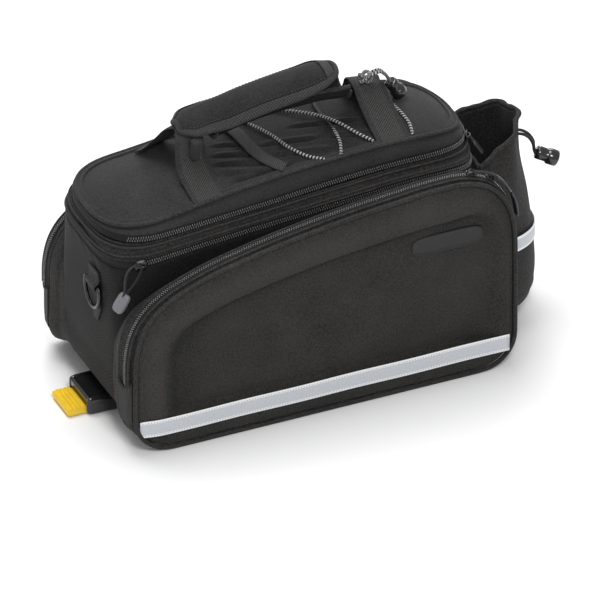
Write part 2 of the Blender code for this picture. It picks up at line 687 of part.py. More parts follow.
def build_lid_trim(webbing, cord, plastic):
    """Flat band, the elastic lacing and its lock on top of the lid."""
    route = curve_through([(x * MM, y * MM, 0.0) for x, y in BAND_ROUTE], 15)
    centres = [on_lid(x, y, BAND_LIFT * (1 - (y / LID_HALF_WIDTH) ** 2) + BAND_THICK / 2 + LID_SEAT)
               for x, y, _ in route]
    ribbon("lid_band", centres, np.tile([1.0, 0.25, 0.0], (15, 1)), np.full(15, BAND_WIDTH),
           BAND_THICK, webbing)
    for name, route in LACES.items():
        points = [on_lid(px * MM, py * MM, CORD_RADIUS + LID_SEAT + up * MM) for px, py, up in route]
        tube(name, curve_through(points, 4 * len(points)), CORD_RADIUS, cord, sides=1)
    tube("lace_knot", knot_points(), CORD_RADIUS * 1.6, cord, sides=1)
    lock_at = on_lid(KNOT_LOCK_X, KNOT_LOCK_Y, KNOT_LOCK_LIFT)
    barrel("lace_lock", lock_at, KNOT_LOCK_AXIS, LOCK_RADIUS, LOCK_LENGTH, plastic)


def knot_points():
    """Short thick twist that stands for the lacing's knot."""
    middle = np.array(KNOT_AT)
    turn = np.linspace(0, 2.2 * math.pi, 14)
    return [middle + np.array([KNOT_SIZE * 0.7 * math.cos(t), KNOT_SIZE * t / 9 - KNOT_SIZE * 0.4,
                               KNOT_SIZE * 0.7 * math.sin(t)]) for t in turn]


def barrel(name, middle, axis, radius, length, material):
    """Waisted round cord lock: a turned body along an axis."""
    axis = np.array(axis, float) / np.linalg.norm(axis)
    side = np.cross(axis, [0.0, 0.0, 1.0])
    side /= np.linalg.norm(side)
    other = np.cross(axis, side)
    turn = np.linspace(0, 2 * math.pi, 14, endpoint=False)
    circle = np.outer(np.cos(turn), side) + np.outer(np.sin(turn), other)
    rings = [np.array(middle) + axis * length * at + circle * radius * share
             for at, share in ((-0.5, 0.6), (-0.46, 0.78), (0.05, 0.8), (0.12, 1.0), (0.44, 1.0), (0.5, 0.8))]
    return ring_body(name, rings, material)


def block(name, low, high, material, bevel=0.0):
    """Box between two corners with its edges rounded off."""
    mesh = bpy.data.meshes.new(name)
    body = bmesh.new()
    bmesh.ops.create_cube(body, size=1.0)
    low, high = np.array(low), np.array(high)
    for vertex in body.verts:
        vertex.co = [low[k] + (vertex.co[k] + 0.5) * (high[k] - low[k]) for k in range(3)]
    if bevel:
        bmesh.ops.bevel(body, geom=body.edges[:], offset=bevel, segments=2, profile=0.6,
                        affect="EDGES")
    body.to_mesh(mesh)
    body.free()
    mesh.shade_smooth()
    mesh.set_sharp_from_angle(angle=math.radians(35))
    mesh.materials.append(material)
    item = bpy.data.objects.new(name, mesh)
    bpy.context.scene.collection.objects.link(item)
    item.parent = bpy.data.objects[FRAME]
    return item


def extrude_outline(name, outline, ends, to_point, material):
    """Flat outline carried between two ends; to_point turns (a, b, end) into a place."""
    rings = [np.array([to_point(a, b, end) for a, b in outline]) for end in ends]
    count = len(outline)
    verts = np.vstack(rings)
    faces = ring_faces(2, count, loop=False)
    faces.append(tuple(range(count)))
    faces.append(tuple(range(2 * count - 1, count - 1, -1)))
    return finish_mesh(name, verts, faces, material, sharp_degrees=30)


def build_base(plastic, yellow):
    """Quick-release slide plate under the body, the housing at its front, and the lever."""
    half, foot = PLATE_WIDTH / 2, PLATE_WIDTH / 2 - RAIL_STEP
    outline = [(-foot, 0), (foot, 0), (foot, RAIL_LOW), (foot - RAIL_STEP, RAIL_LOW),
               (foot - RAIL_STEP, RAIL_HIGH), (half, RAIL_HIGH), (half, BODY_BOTTOM - FIT),
               (-half, BODY_BOTTOM - FIT), (-half, RAIL_HIGH), (RAIL_STEP - foot, RAIL_HIGH),
               (RAIL_STEP - foot, RAIL_LOW), (-foot, RAIL_LOW)]
    plate_front = HOUSING_FRONT + HOUSING_LENGTH + FIT
    extrude_outline("slide_plate", outline, (plate_front, plate_front + PLATE_LENGTH),
                    lambda a, b, end: (end, a, b), plastic)
    back = HOUSING_FRONT + HOUSING_LENGTH
    notch = HOUSING_FRONT + LEVER_DEPTH + FIT
    side = [(back, 0), (back, HOUSING_HEIGHT), (HOUSING_FRONT + 2 * MM, HOUSING_HEIGHT),
            (HOUSING_FRONT, HOUSING_HEIGHT - 2 * MM), (HOUSING_FRONT, LEVER_ROOF),
            (notch, LEVER_ROOF), (notch, 0)]
    half = HOUSING_WIDTH / 2
    extrude_outline("plate_housing", side, (-half, half), lambda a, b, end: (a, end, b), plastic)
    build_lever(yellow)


def build_lever(yellow):
    """Ribbed release lever on its cross pin, its origin on the pin's axis."""
    tip = HOUSING_FRONT - LEVER_REACH
    low, high = LEVER_BOTTOM, LEVER_BOTTOM + LEVER_THICK
    neck = high - LEVER_NECK_DROP
    outline = [(LEVER_PIVOT_X, low), (LEVER_PIVOT_X + LEVER_EYE, (low + neck) / 2), (LEVER_PIVOT_X, neck),
               (HOUSING_FRONT - 1 * MM, neck)]
    ribs = 4
    pitch = (HOUSING_FRONT - 1 * MM - tip - 2 * MM) / ribs
    for rib in range(ribs):
        start = HOUSING_FRONT - 1 * MM - rib * pitch
        outline += [(start - 0.25 * pitch, high), (start - 0.7 * pitch, high),
                    (start - 0.95 * pitch, high - RIB_DEPTH)]
    outline += [(tip, high - RIB_DEPTH), (tip, low + 1.5 * MM), (tip + 2 * MM, low)]
    half = LEVER_WIDTH / 2
    lever = extrude_outline("release_lever", outline, (-half, half),
                            lambda a, b, end: (a - LEVER_PIVOT_X, end, b - LEVER_PIVOT_Z), yellow)
    lever.location = (LEVER_PIVOT_X, 0, LEVER_PIVOT_Z)


def front_face(z):
    """x of the body's front panel on its middle line, as the flat facets run."""
    top = float(edge_height(np.float64(BODY_FRONT), "body_zip")) - ZIP_HALF - FIT
    up = column(BODY_SECTIONS, BODY_COLUMNS, "up")
    front_in = column(BODY_SECTIONS, BODY_COLUMNS, "front_in")
    return BODY_FRONT + float(np.interp((z - BODY_BOTTOM) / (top - BODY_BOTTOM), up, front_in))


def build_d_ring(webbing, metal):
    """D-ring in its webbing loop on the front panel, the ring's origin on its bar."""
    stand = FIT + WEB_THICK + FIT + RING_RADIUS
    bar_x = front_face(RING_BAR_Z) - stand
    over = RING_RADIUS + FIT + WEB_THICK / 2
    flat = FIT + WEB_THICK / 2
    low = RING_BAR_Z - RING_TAIL
    path = [(front_face(RING_BAR_Z + 13 * MM) - flat, RING_BAR_Z + 13 * MM),
            (front_face(RING_BAR_Z + 6 * MM) - flat, RING_BAR_Z + 6 * MM)]
    for angle in np.radians(np.linspace(100, 260, 7)):
        path.append((bar_x + over * math.cos(angle), RING_BAR_Z + over * math.sin(angle)))
    path += [(front_face(z) - flat, z) for z in np.linspace(RING_BAR_Z - 5 * MM, low, 4)]
    centres = [(x, RING_Y, z) for x, z in path]
    widths = np.full(len(path), WEB_WIDTH)
    widths[-1] *= 0.45
    ribbon("dring_tab", centres, np.tile([0.0, -1.0, 0.0], (len(path), 1)), widths, WEB_THICK, webbing)
    half = RING_WIDTH / 2
    turn = np.radians(np.linspace(180, 360, 9))
    bow = [(0.0, half * math.cos(t), -RING_STRAIGHT + (RING_DROP - RING_STRAIGHT) * math.sin(t))
           for t in turn]
    bar = [(0.0, share * half, 0.0) for share in (0.9, 0.45, 0.0, -0.45, -0.9)]
    ring = tube("d_ring", bow + bar, RING_RADIUS, metal, cyclic=True)
    ring.location = (bar_x, RING_Y, RING_BAR_Z)


def oriented_box(name, middle, axes, sizes, material, top=0.7):
    """Slider body or tab: a box along three axes whose outer face is a little smaller."""
    axes = [np.array(a, float) / np.linalg.norm(a) for a in axes]
    rings = []
    for lift, share in ((-0.5, 1.0), (0.1, 1.0), (0.5, top)):
        rings.append(np.array([np.array(middle) + axes[2] * sizes[2] * lift
                               + axes[0] * sizes[0] * a * share / 2 + axes[1] * sizes[1] * b * share / 2
                               for a, b in ((-1, -1), (1, -1), (1, 1), (-1, 1))]))
    return ring_body(name, rings, material)


def ring_place(ring, x, side):
    """Point of a plan ring nearest to x on one side, its outward normal and its direction."""
    wanted = np.where(ring[:, 1] * side > 0, np.abs(ring[:, 0] - x), 1.0)
    k = int(np.argmin(wanted))
    ahead = ring[(k + 1) % len(ring)] - ring[k - 1]
    ahead /= np.linalg.norm(ahead)
    normal = np.array([-ahead[1], ahead[0], 0.0])
    normal *= np.sign(normal[1] * side) or 1.0
    return ring[k], normal / np.linalg.norm(normal), ahead


def zip_slider(name, ring, x, side, metal):
    """Slider body standing on a zip band, over the ring point nearest to x."""
    at, normal, ahead = ring_place(ring, x, side)
    middle = at + normal * (SLIDER[2] / 2 + SLIDER_SEAT)
    oriented_box(name, middle, (ahead, np.cross(normal, ahead), normal), SLIDER, metal)
    return at + normal * (SLIDER[2] + SLIDER_SEAT), normal, ahead


def hanging_pull(name, top, out, across, material, length, wide):
    """Pull tab of rubber on a narrow neck, hanging from a slider."""
    top, out = np.array(top), np.array(out)
    drops = np.linspace(0, 1, 7)
    centres = np.array([top + out * (PULL_LEAN * s) - np.array([0, 0, length * s]) for s in drops])
    widths = np.where(drops < 0.35, wide * 0.35, wide)
    ribbon(name, centres, np.tile(across, (7, 1)), widths, PULL_THICK, material)


def build_fasteners(metal, rubber, cord, grey):
    """Zip sliders with their pulls, and the front slider's cord loop and tab."""
    body_ring_at = place(edge_plan(0), edge_height(edge_plan(0)[:, 0], "body_zip"))
    lid_ring_at = place(edge_plan(1), edge_height(edge_plan(1)[:, 0], "lid_zip"))
    zip_slider("body_slider_near", body_ring_at, BODY_SLIDER_X, -1, metal)
    zip_slider("body_slider_far", body_ring_at, BODY_SLIDER_X, 1, metal)
    for name, side in (("near", -1), ("far", 1)):
        top, normal, ahead = zip_slider("lid_slider_" + name, lid_ring_at, LID_SLIDER_X, side, metal)
        hanging_pull("lid_pull_" + name, top + normal * (PULL_THICK / 2 + FIT), normal, ahead, rubber,
                     LID_PULL_LENGTH, LID_PULL_WIDTH)
    tube("pull_cord", curve_through(np.array(PULL_LOOP) * MM, 24), PULL_CORD_RADIUS, cord, sides=1)
    oriented_box("pull_tab", np.array(PULL_TAB_AT) * MM, PULL_TAB_AXES, PULL_TAB, grey, top=0.85)
    share = (SIDE_ZIP_Y - BODY_HALF_WIDTH) / (GUSSET_OUTER_Y - BODY_HALF_WIDTH)
    for name, side in (("near", -1), ("far", 1)):
        ring = resample(gusset_ring(side, share, -FIT - SIDE_ZIP_HEIGHT), FINE_POINTS, closed=True)
        ahead = np.roll(ring, -3, axis=0) - np.roll(ring, 3, axis=0)
        ahead /= np.linalg.norm(ahead, axis=1)[:, None]
        normals = np.c_[-ahead[:, 2], np.zeros(len(ring)), ahead[:, 0]]
        lift = SLIDER[2] + SLIDER_SEAT + SIDE_PULL_CLEAR + PULL_THICK / 2
        spacing = np.linalg.norm(ring[1] - ring[0])
        for label, x, reach, out in SIDE_SLIDERS:
            k = int(np.argmin(np.where(ring[:, 2] > 0.5 * SHELL_HEIGHT, np.abs(ring[:, 0] - x), 1.0)))
            middle = ring[k] + normals[k] * (SLIDER[2] / 2 + SLIDER_SEAT)
            oriented_box(f"side_slider_{label}_{name}", middle, (ahead[k], (0, 1, 0), normals[k]),
                         SLIDER, metal)
            follow = (k + np.arange(0, round(reach / spacing), 2)) % len(ring)
            path = ring[follow] + normals[follow] * lift + [0.0, side * out, 0.0]
            widths = np.where(np.arange(len(path)) < 0.6 * len(path), 0.4, 1.0) * SIDE_PULL_WIDTH
            ribbon(f"side_pull_{label}_{name}", path, np.tile([0.0, 1.0, 0.0], (len(path), 1)), widths,
                   PULL_THICK, rubber)


def build_drawcord(cord, plastic):
    """Two strands of the pocket's drawcord and the lock on them."""
    for name, route in (("drawcord_a", DRAWCORD_A), ("drawcord_b", DRAWCORD_B)):
        tube(name, curve_through(np.array(route) * MM, 14), CORD_RADIUS, cord)
    barrel("drawcord_lock", np.array(DRAW_LOCK_AT) * MM, DRAW_LOCK_AXIS, DRAW_LOCK_RADIUS,
           DRAW_LOCK_LENGTH, plastic)


# Shapes shared by the lid's edge lines
LID_MIDDLE = (LID_FRONT + LID_REAR) / 2
LID_TAPER = 0.14
LID_SQUARE = 2.6
BODY_TAPER = 0.06
ZIP_LINE_HALF_WIDTH = 61 * MM
ZIP_LINE_FRONT_IN = 1.0 * MM
SIDE_ZIP_END = 0.39

# Border left between the shell's edge and its recessed panel: front, top, rear, bottom
PANEL_BORDER = (25 * MM, 31 * MM, 8 * MM, 27 * MM)
STRIP_INSET = 4.5 * MM
STRIP_BOTTOM = 18.5 * MM
STRIP_HEIGHT = 17 * MM
STRIP_THICK = 0.6 * MM
PATCH_X = SHELL_LENGTH / 2 - 62 * MM
PATCH_Z = SHELL_HEIGHT - 58 * MM
PATCH_LENGTH = 68 * MM
PATCH_HEIGHT = 19 * MM
PATCH_THICK = 1.6 * MM

# Pocket trim
HEM_RADIUS = 2.6 * MM
HEM_LIFT = 1.3
HEM_SLOPE = 0.8
POCKET_SLACK = 0.6 * MM
POCKET_STRIP_UP = 83 * MM
POCKET_STRIP_RISE = 10 * MM
POCKET_STRIP_HEIGHT = 15 * MM

# Handle wrap along its length: how far its crest falls, its half width and its side drop
WRAP_COLUMNS = ("along", "fall", "half", "drop")
WRAP_SECTIONS = (
    (0.00, 1.00, 0.80, 0.30),
    (0.07, 0.80, 1.00, 0.50),
    (0.16, 0.59, 1.00, 0.75),
    (0.29, 0.41, 1.00, 1.00),
    (0.41, 0.24, 1.00, 1.00),
    (0.60, 0.06, 1.00, 0.95),
    (0.79, 0.00, 1.00, 0.75),
    (0.93, 0.00, 0.88, 0.40),
    (1.00, 0.06, 0.62, 0.22),
)
FLAP_FRONT = -68 * MM
FLAP_REAR = 60 * MM
FLAP_DEPTH = 27 * MM
FLAP_HALF_WIDTH = 15.5 * MM
FLAP_WALL = 2.0 * MM
FLAP_SIDE_CLEAR = 12 * MM

# Handle straps from the near edge over the crest to the far edge
STRAP_COLUMNS = ("across", "rise", "shift", "width", "tilt")
FRONT_STRAP = (
    (-1.00, 0.00, 0.00, 1.00, 0.00),
    (-0.66, 0.04, -0.04, 1.00, 0.02),
    (-0.42, 0.26, -0.10, 1.00, 0.10),
    (-0.30, 0.60, -0.10, 0.90, 0.20),
    (-0.20, 0.86, -0.04, 0.80, 0.28),
    (0.00, 1.00, 0.00, 0.76, 0.28),
    (0.22, 0.86, -0.10, 0.85, 0.22),
    (0.45, 0.50, -0.25, 0.95, 0.12),
    (0.72, 0.16, -0.40, 1.00, 0.04),
    (1.00, 0.00, -0.50, 1.00, 0.00),
)
REAR_STRAP = (
    (-1.00, 0.00, 0.00, 1.00, 0.00),
    (-0.72, 0.10, -0.03, 1.00, 0.00),
    (-0.45, 0.38, -0.10, 1.00, -0.08),
    (-0.28, 0.70, -0.16, 1.00, -0.16),
    (-0.16, 0.93, -0.20, 1.00, -0.22),
    (0.00, 1.00, -0.22, 1.00, -0.22),
    (0.20, 0.90, -0.18, 1.00, -0.16),
    (0.45, 0.55, -0.08, 1.00, -0.08),
    (0.72, 0.18, 0.00, 1.00, 0.00),
    (1.00, 0.00, 0.00, 1.00, 0.00),
)
STRAP_SPREAD = 0.88
STRAP_FOOT = 1.2 * MM
FRONT_STRAP_X = -91 * MM
REAR_STRAP_X = 87 * MM
REAR_STRAP_CREST = 268 * MM
TAB_RADIUS = 5 * MM
TAB_LENGTH = 19 * MM

# Flat band and elastic lacing on the lid, as x, y and lift in millimetres
LID_SEAT = 0.8 * MM
BAND_WIDTH = 13 * MM
BAND_THICK = 1.2 * MM
BAND_LIFT = 2.0 * MM
BAND_ROUTE = ((-16, -47), (-20, -43), (-28, -33), (-33, -21), (-35, -5), (-36, 11), (-38, 30), (-40, 48))
CORD_RADIUS = 1.4 * MM
LACES = {
    "lace_a": ((17, -47, 0), (4, -39, 0), (-6, -22, 0), (-13, 5, 0), (-22, 30, 0), (-28, 46, 0)),
    "lace_b": ((67, -42, 0), (56, -30, 1), (43, -10, 3.4), (30, 14, 1), (14, 32, 0), (-4, 47, 0)),
    "lace_c": ((34, -46, 0), (39, -37, 0), (42, -14, 0), (43, 12, 0), (48, 32, 0), (53, 45, 0)),
    "lace_d": ((107, -43, 0), (108, -33, 0), (108, -20, 0), (107, -6, 0)),
}
KNOT_AT = (REAR_STRAP_X - 9 * MM, -7 * MM, REAR_STRAP_CREST + 6.6 * MM)
KNOT_SIZE = 5 * MM
KNOT_LOCK_X = REAR_STRAP_X + 26 * MM
KNOT_LOCK_Y = 6 * MM
KNOT_LOCK_LIFT = 10.9 * MM
KNOT_LOCK_AXIS = (0.55, 0.0, -0.83)
LOCK_RADIUS = 7 * MM
LOCK_LENGTH = 19 * MM

# Plate, housing and lever details
RAIL_STEP = 5 * MM
RAIL_LOW = 8 * MM
RAIL_HIGH = 13 * MM
LEVER_DEPTH = 24 * MM
LEVER_EYE = 3 * MM
LEVER_ROOF = 10 * MM
LEVER_NECK_DROP = 2.2 * MM
RIB_DEPTH = 1.0 * MM
LEVER_PIVOT_X = HOUSING_FRONT + LEVER_DEPTH - LEVER_EYE
LEVER_PIVOT_Z = LEVER_BOTTOM + (LEVER_THICK - LEVER_NECK_DROP) / 2

# D-ring and its webbing
RING_BAR_Z = 141 * MM
RING_Y = -23 * MM
RING_RADIUS = 1.8 * MM
RING_WIDTH = 31 * MM
RING_DROP = 24 * MM
RING_STRAIGHT = 6 * MM
RING_TAIL = 38 * MM
WEB_WIDTH = 22 * MM
WEB_THICK = 1.6 * MM

# Sliders (length, width, height) and pulls
SLIDER = (10 * MM, 8 * MM, 3.4 * MM)
SLIDER_SEAT = 0.5 * MM
BODY_SLIDER_X = -164 * MM
LID_SLIDER_X = 163 * MM
LID_PULL_LENGTH = 18 * MM
LID_PULL_WIDTH = 6 * MM
PULL_LEAN = 12 * MM
PULL_THICK = 1.8 * MM
SIDE_PULL_WIDTH = 5.5 * MM
SIDE_PULL_CLEAR = 0.7 * MM
FINE_POINTS = 400

# Side sliders: name, x, length of the pull, and how far the pull stands out in Y
SIDE_SLIDERS = (("upper", 143 * MM, 44.1 * MM, 3.2 * MM), ("lower", 161 * MM, 54.4 * MM, -3.2 * MM))
PULL_CORD_RADIUS = 1.2 * MM
PULL_LOOP = ((-180.5, -70, 155), (-179.5, -70, 168), (-177.5, -70.9, 177), (-172, -70.9, 181.5),
             (-166.5, -70.9, 181), (-164.5, -70.9, 177.5), (-166.5, -70.9, 171), (-172, -70, 161),
             (-176.5, -70, 156))
PULL_TAB_AT = (-183.4, -70, 145.8)
PULL_TAB_AXES = ((-0.525, 0, -0.851), (0.34, -0.94, -0.21), (-0.8, -0.34, 0.49))
PULL_TAB = (19 * MM, 11.5 * MM, 4.5 * MM)
DRAWCORD_A = ((225.8, -17, 186), (230.5, -17.6, 182.5), (235, -18, 174), (236.6, -18.2, 163.4))
DRAWCORD_B = ((225.4, -20.5, 184), (229.5, -21, 180), (233.5, -21.4, 172.5), (235.2, -21.5, 163.6))
DRAW_LOCK_AT = (246, -23, 158)
DRAW_LOCK_AXIS = (0.86, -0.28, -0.42)
DRAW_LOCK_RADIUS = 7.5 * MM
DRAW_LOCK_LENGTH = 21 * MM

# The bag's frame is moved so that its origin is the bottom centre of its box
FRAME = "bag_frame"
FRONT_REACH = HOUSING_FRONT - LEVER_REACH
REAR_REACH = BODY_REAR + 2 * FIT + POCKET_DEPTH + POCKET_SLACK + STRIP_THICK


def main():
    """Clear the scene and build every piece of the bag."""
    for item in list(bpy.data.objects):
        bpy.data.objects.remove(item)
    frame = bpy.data.objects.new(FRAME, None)
    bpy.context.scene.collection.objects.link(frame)
    frame.location.x = -(FRONT_REACH + REAR_REACH) / 2
    cloth = plain("black_cloth", (0.022, 0.021, 0.021), 0.85)
    lid_cloth = plain("lid_cloth", (0.035, 0.035, 0.036), 0.8)
    moulding = plain("moulded_cloth", (0.02, 0.019, 0.019), 0.85)
    tape = plain("zip_tape", (0.015, 0.015, 0.016), 0.6)
    trim = plain("piping", (0.02, 0.02, 0.02), 0.7)
    webbing = plain("webbing", (0.03, 0.03, 0.031), 0.75)
    lining = plain("lining", (0.012, 0.012, 0.013), 0.9)
    shine = plain("reflective", (0.72, 0.76, 0.80), 0.35)
    plastic = plain("black_plastic", (0.012, 0.012, 0.013), 0.4)
    yellow = plain("yellow_plastic", (0.83, 0.57, 0.03), 0.45)
    metal = plain("dark_metal", (0.08, 0.08, 0.09), 0.35, 0.9)
    rubber = plain("rubber", (0.02, 0.02, 0.021), 0.6)
    grey = plain("grey_rubber", (0.50, 0.50, 0.52), 0.5)
    cord = plain("cord", (0.03, 0.03, 0.03), 0.7)
    build_body(cloth)
    build_upper_walls(cloth, tape)
    build_lid(lid_cloth, trim)
    build_side("near", -1, cloth, moulding, tape, trim, shine)
    build_side("far", 1, cloth, moulding, tape, trim, shine)
    build_patch(plastic)
    build_pocket(cloth, trim, shine)
    build_wrap(lid_cloth, lining)
    build_straps(webbing, lid_cloth)
    build_lid_trim(webbing, cord, plastic)
    build_base(plastic, yellow)
    build_d_ring(webbing, metal)
    build_fasteners(metal, rubber, cord, grey)
    build_drawcord(cord, plastic)


def build_straps(webbing, cloth):
    """Both handle straps, and the rolled cloth tab under the wrap's near front edge."""
    half = STRAP_WIDTH / 2
    reach = np.linspace(-half, half, 7)
    tilt = FRONT_STRAP[5][STRAP_COLUMNS.index("tilt")]
    under = wrap_top(FRONT_STRAP_X + reach) - WRAP_WALL - FIT - STRAP_THICK / 2
    crest = float(np.min(under - tilt * reach * FRONT_STRAP[5][STRAP_COLUMNS.index("width")]))
    build_handle_strap("strap_front", FRONT_STRAP_X, crest, 0.12, FRONT_STRAP, webbing)
    build_handle_strap("strap_rear", REAR_STRAP_X, REAR_STRAP_CREST, 0.0, REAR_STRAP, webbing)
    shares = column(WRAP_SECTIONS, WRAP_COLUMNS, "along")
    share = (FRONT_STRAP_X - WRAP_FRONT) / (WRAP_REAR - WRAP_FRONT)
    side_drop = WRAP_DROP * float(smooth(shares, column(WRAP_SECTIONS, WRAP_COLUMNS, "drop"), share))
    top = float(wrap_top(FRONT_STRAP_X)) - side_drop - WRAP_WALL - FIT
    y = -(WRAP_HALF_WIDTH + TAB_RADIUS * 0.1)
    barrel("handle_tab", (FRONT_STRAP_X, y, top - TAB_LENGTH / 2), (0.05, -0.12, 1), TAB_RADIUS,
           TAB_LENGTH, cloth)


main()
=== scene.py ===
"""Looks of a bicycle trunk bag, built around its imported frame.

Shapes are worked out in millimetres in the bag's own frame: X runs from the lever end (-X) to
the bottle pocket (+X), the near side is -Y and the floor is Z = 0. Every surface is a grid of
points; Skin turns one into a mesh, in metres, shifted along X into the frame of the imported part.
"""

from __future__ import annotations

import json
import logging
import math
from dataclasses import dataclass, field
from enum import Enum

import bmesh
import bpy
import numpy as np
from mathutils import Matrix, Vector

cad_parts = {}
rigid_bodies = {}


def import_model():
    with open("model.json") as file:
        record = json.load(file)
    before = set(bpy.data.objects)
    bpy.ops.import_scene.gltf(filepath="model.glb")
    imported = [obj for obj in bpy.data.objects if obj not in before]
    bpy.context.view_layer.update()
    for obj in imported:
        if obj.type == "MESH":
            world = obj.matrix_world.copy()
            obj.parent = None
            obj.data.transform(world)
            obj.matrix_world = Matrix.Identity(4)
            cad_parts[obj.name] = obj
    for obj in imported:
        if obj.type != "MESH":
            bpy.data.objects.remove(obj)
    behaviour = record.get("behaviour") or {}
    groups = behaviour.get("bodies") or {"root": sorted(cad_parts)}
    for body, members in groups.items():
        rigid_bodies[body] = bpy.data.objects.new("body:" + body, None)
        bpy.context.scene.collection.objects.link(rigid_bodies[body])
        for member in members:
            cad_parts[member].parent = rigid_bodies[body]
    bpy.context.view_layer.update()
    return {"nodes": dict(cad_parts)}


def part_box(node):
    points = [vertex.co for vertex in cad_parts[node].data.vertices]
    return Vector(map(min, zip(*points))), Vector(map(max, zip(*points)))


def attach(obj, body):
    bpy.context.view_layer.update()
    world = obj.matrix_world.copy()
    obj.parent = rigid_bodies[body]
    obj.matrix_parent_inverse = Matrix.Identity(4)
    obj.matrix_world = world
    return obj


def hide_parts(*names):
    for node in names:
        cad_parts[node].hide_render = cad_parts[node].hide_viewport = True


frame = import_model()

LOG = logging.getLogger("trunk_bag")

# Place of the bag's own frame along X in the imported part, in millimetres
SHIFT = -14.9
MM = 0.001
BAG = "bag"
TINY = 1e-9
UP = np.array([0.0, 0.0, 1.0])
ACROSS = np.array([0.0, 1.0, 0.0])

# A colour; three numbers for a place, a way or a size; lines of numbers; and a grid of points
Colour = tuple[float, float, float]
Triple = tuple[float, float, float]
Rows = tuple[tuple[float, ...], ...]
Array = np.ndarray


class Slot(Enum):
    """Material slots of the record that the pieces take their finish from."""

    CLOTH = "black_cloth"
    LID = "lid_cloth"
    MOULDED = "moulded_cloth"
    TAPE = "zip_tape"
    PIPING = "piping"
    WEBBING = "webbing"
    LINING = "lining"
    SHINE = "reflective"
    PLASTIC = "black_plastic"
    YELLOW = "yellow_plastic"
    METAL = "dark_metal"
    RUBBER = "rubber"
    GREY = "grey_rubber"
    CORD = "cord"


class Cap(Enum):
    """How a skin's open rows are closed: not, both flat, as a strip, or the first row flat."""

    NONE = 0
    BOTH = 1
    STRIP = 2
    FIRST = 3


class Side(Enum):
    """The two long sides of the bag, with the sign of Y."""

    NEAR = -1
    FAR = 1

    @property
    def label(self) -> str:
        """Name of the side, for the names of pieces."""
        return self.name.lower()


class Tone:
    """A shader socket with Python's operators, so that a pattern reads as an expression."""

    def __init__(self, paint: Paint, socket: bpy.types.NodeSocket) -> None:
        """Keep the socket and the paint whose tree it is in.

        Args:
            paint: The paint that makes further nodes.
            socket: The output socket that this value stands for.
        """
        self.paint = paint
        self.socket = socket

    def _math(self, operation: str, *values: Tone | float) -> Tone:
        """One Math node on the given values."""
        return self.paint.node("ShaderNodeMath", {"operation": operation}, dict(enumerate(values)))

    def __add__(self, other: Tone | float) -> Tone:
        """Sum."""
        return self._math("ADD", self, other)

    def __radd__(self, other: float) -> Tone:
        """Sum with the number first."""
        return self._math("ADD", other, self)

    def __sub__(self, other: Tone | float) -> Tone:
        """Difference."""
        return self._math("SUBTRACT", self, other)

    def __rsub__(self, other: float) -> Tone:
        """Difference with the number first."""
        return self._math("SUBTRACT", other, self)

    def __mul__(self, other: Tone | float) -> Tone:
        """Product."""
        return self._math("MULTIPLY", self, other)

    def __rmul__(self, other: float) -> Tone:
        """Product with the number first."""
        return self._math("MULTIPLY", other, self)

    def __gt__(self, other: Tone | float) -> Tone:
        """1 where this is the greater, else 0."""
        return self._math("GREATER_THAN", self, other)

    def __abs__(self) -> Tone:
        """Size without its sign."""
        return self._math("ABSOLUTE", self)

    def clamp(self) -> Tone:
        """Kept between 0 and 1."""
        return self.paint.node("ShaderNodeClamp", {}, {0: self})

    def wave(self, pitch: float) -> Tone:
        """Sine wave from -1 to 1, with the pitch in this value's own units."""
        return self._math("SINE", self * (math.tau / pitch))

    def ramp(self, low: float, high: float) -> Tone:
        """0 below low, 1 above high, smooth between.

        Args:
            low: Value that gives 0.
            high: Value that gives 1.

        Returns:
            The share of the way from low to high.
        """
        return self.paint.node("ShaderNodeMapRange", {"interpolation_type": "SMOOTHSTEP"},
                               {0: self, 1: low, 2: high, 3: 0.0, 4: 1.0})


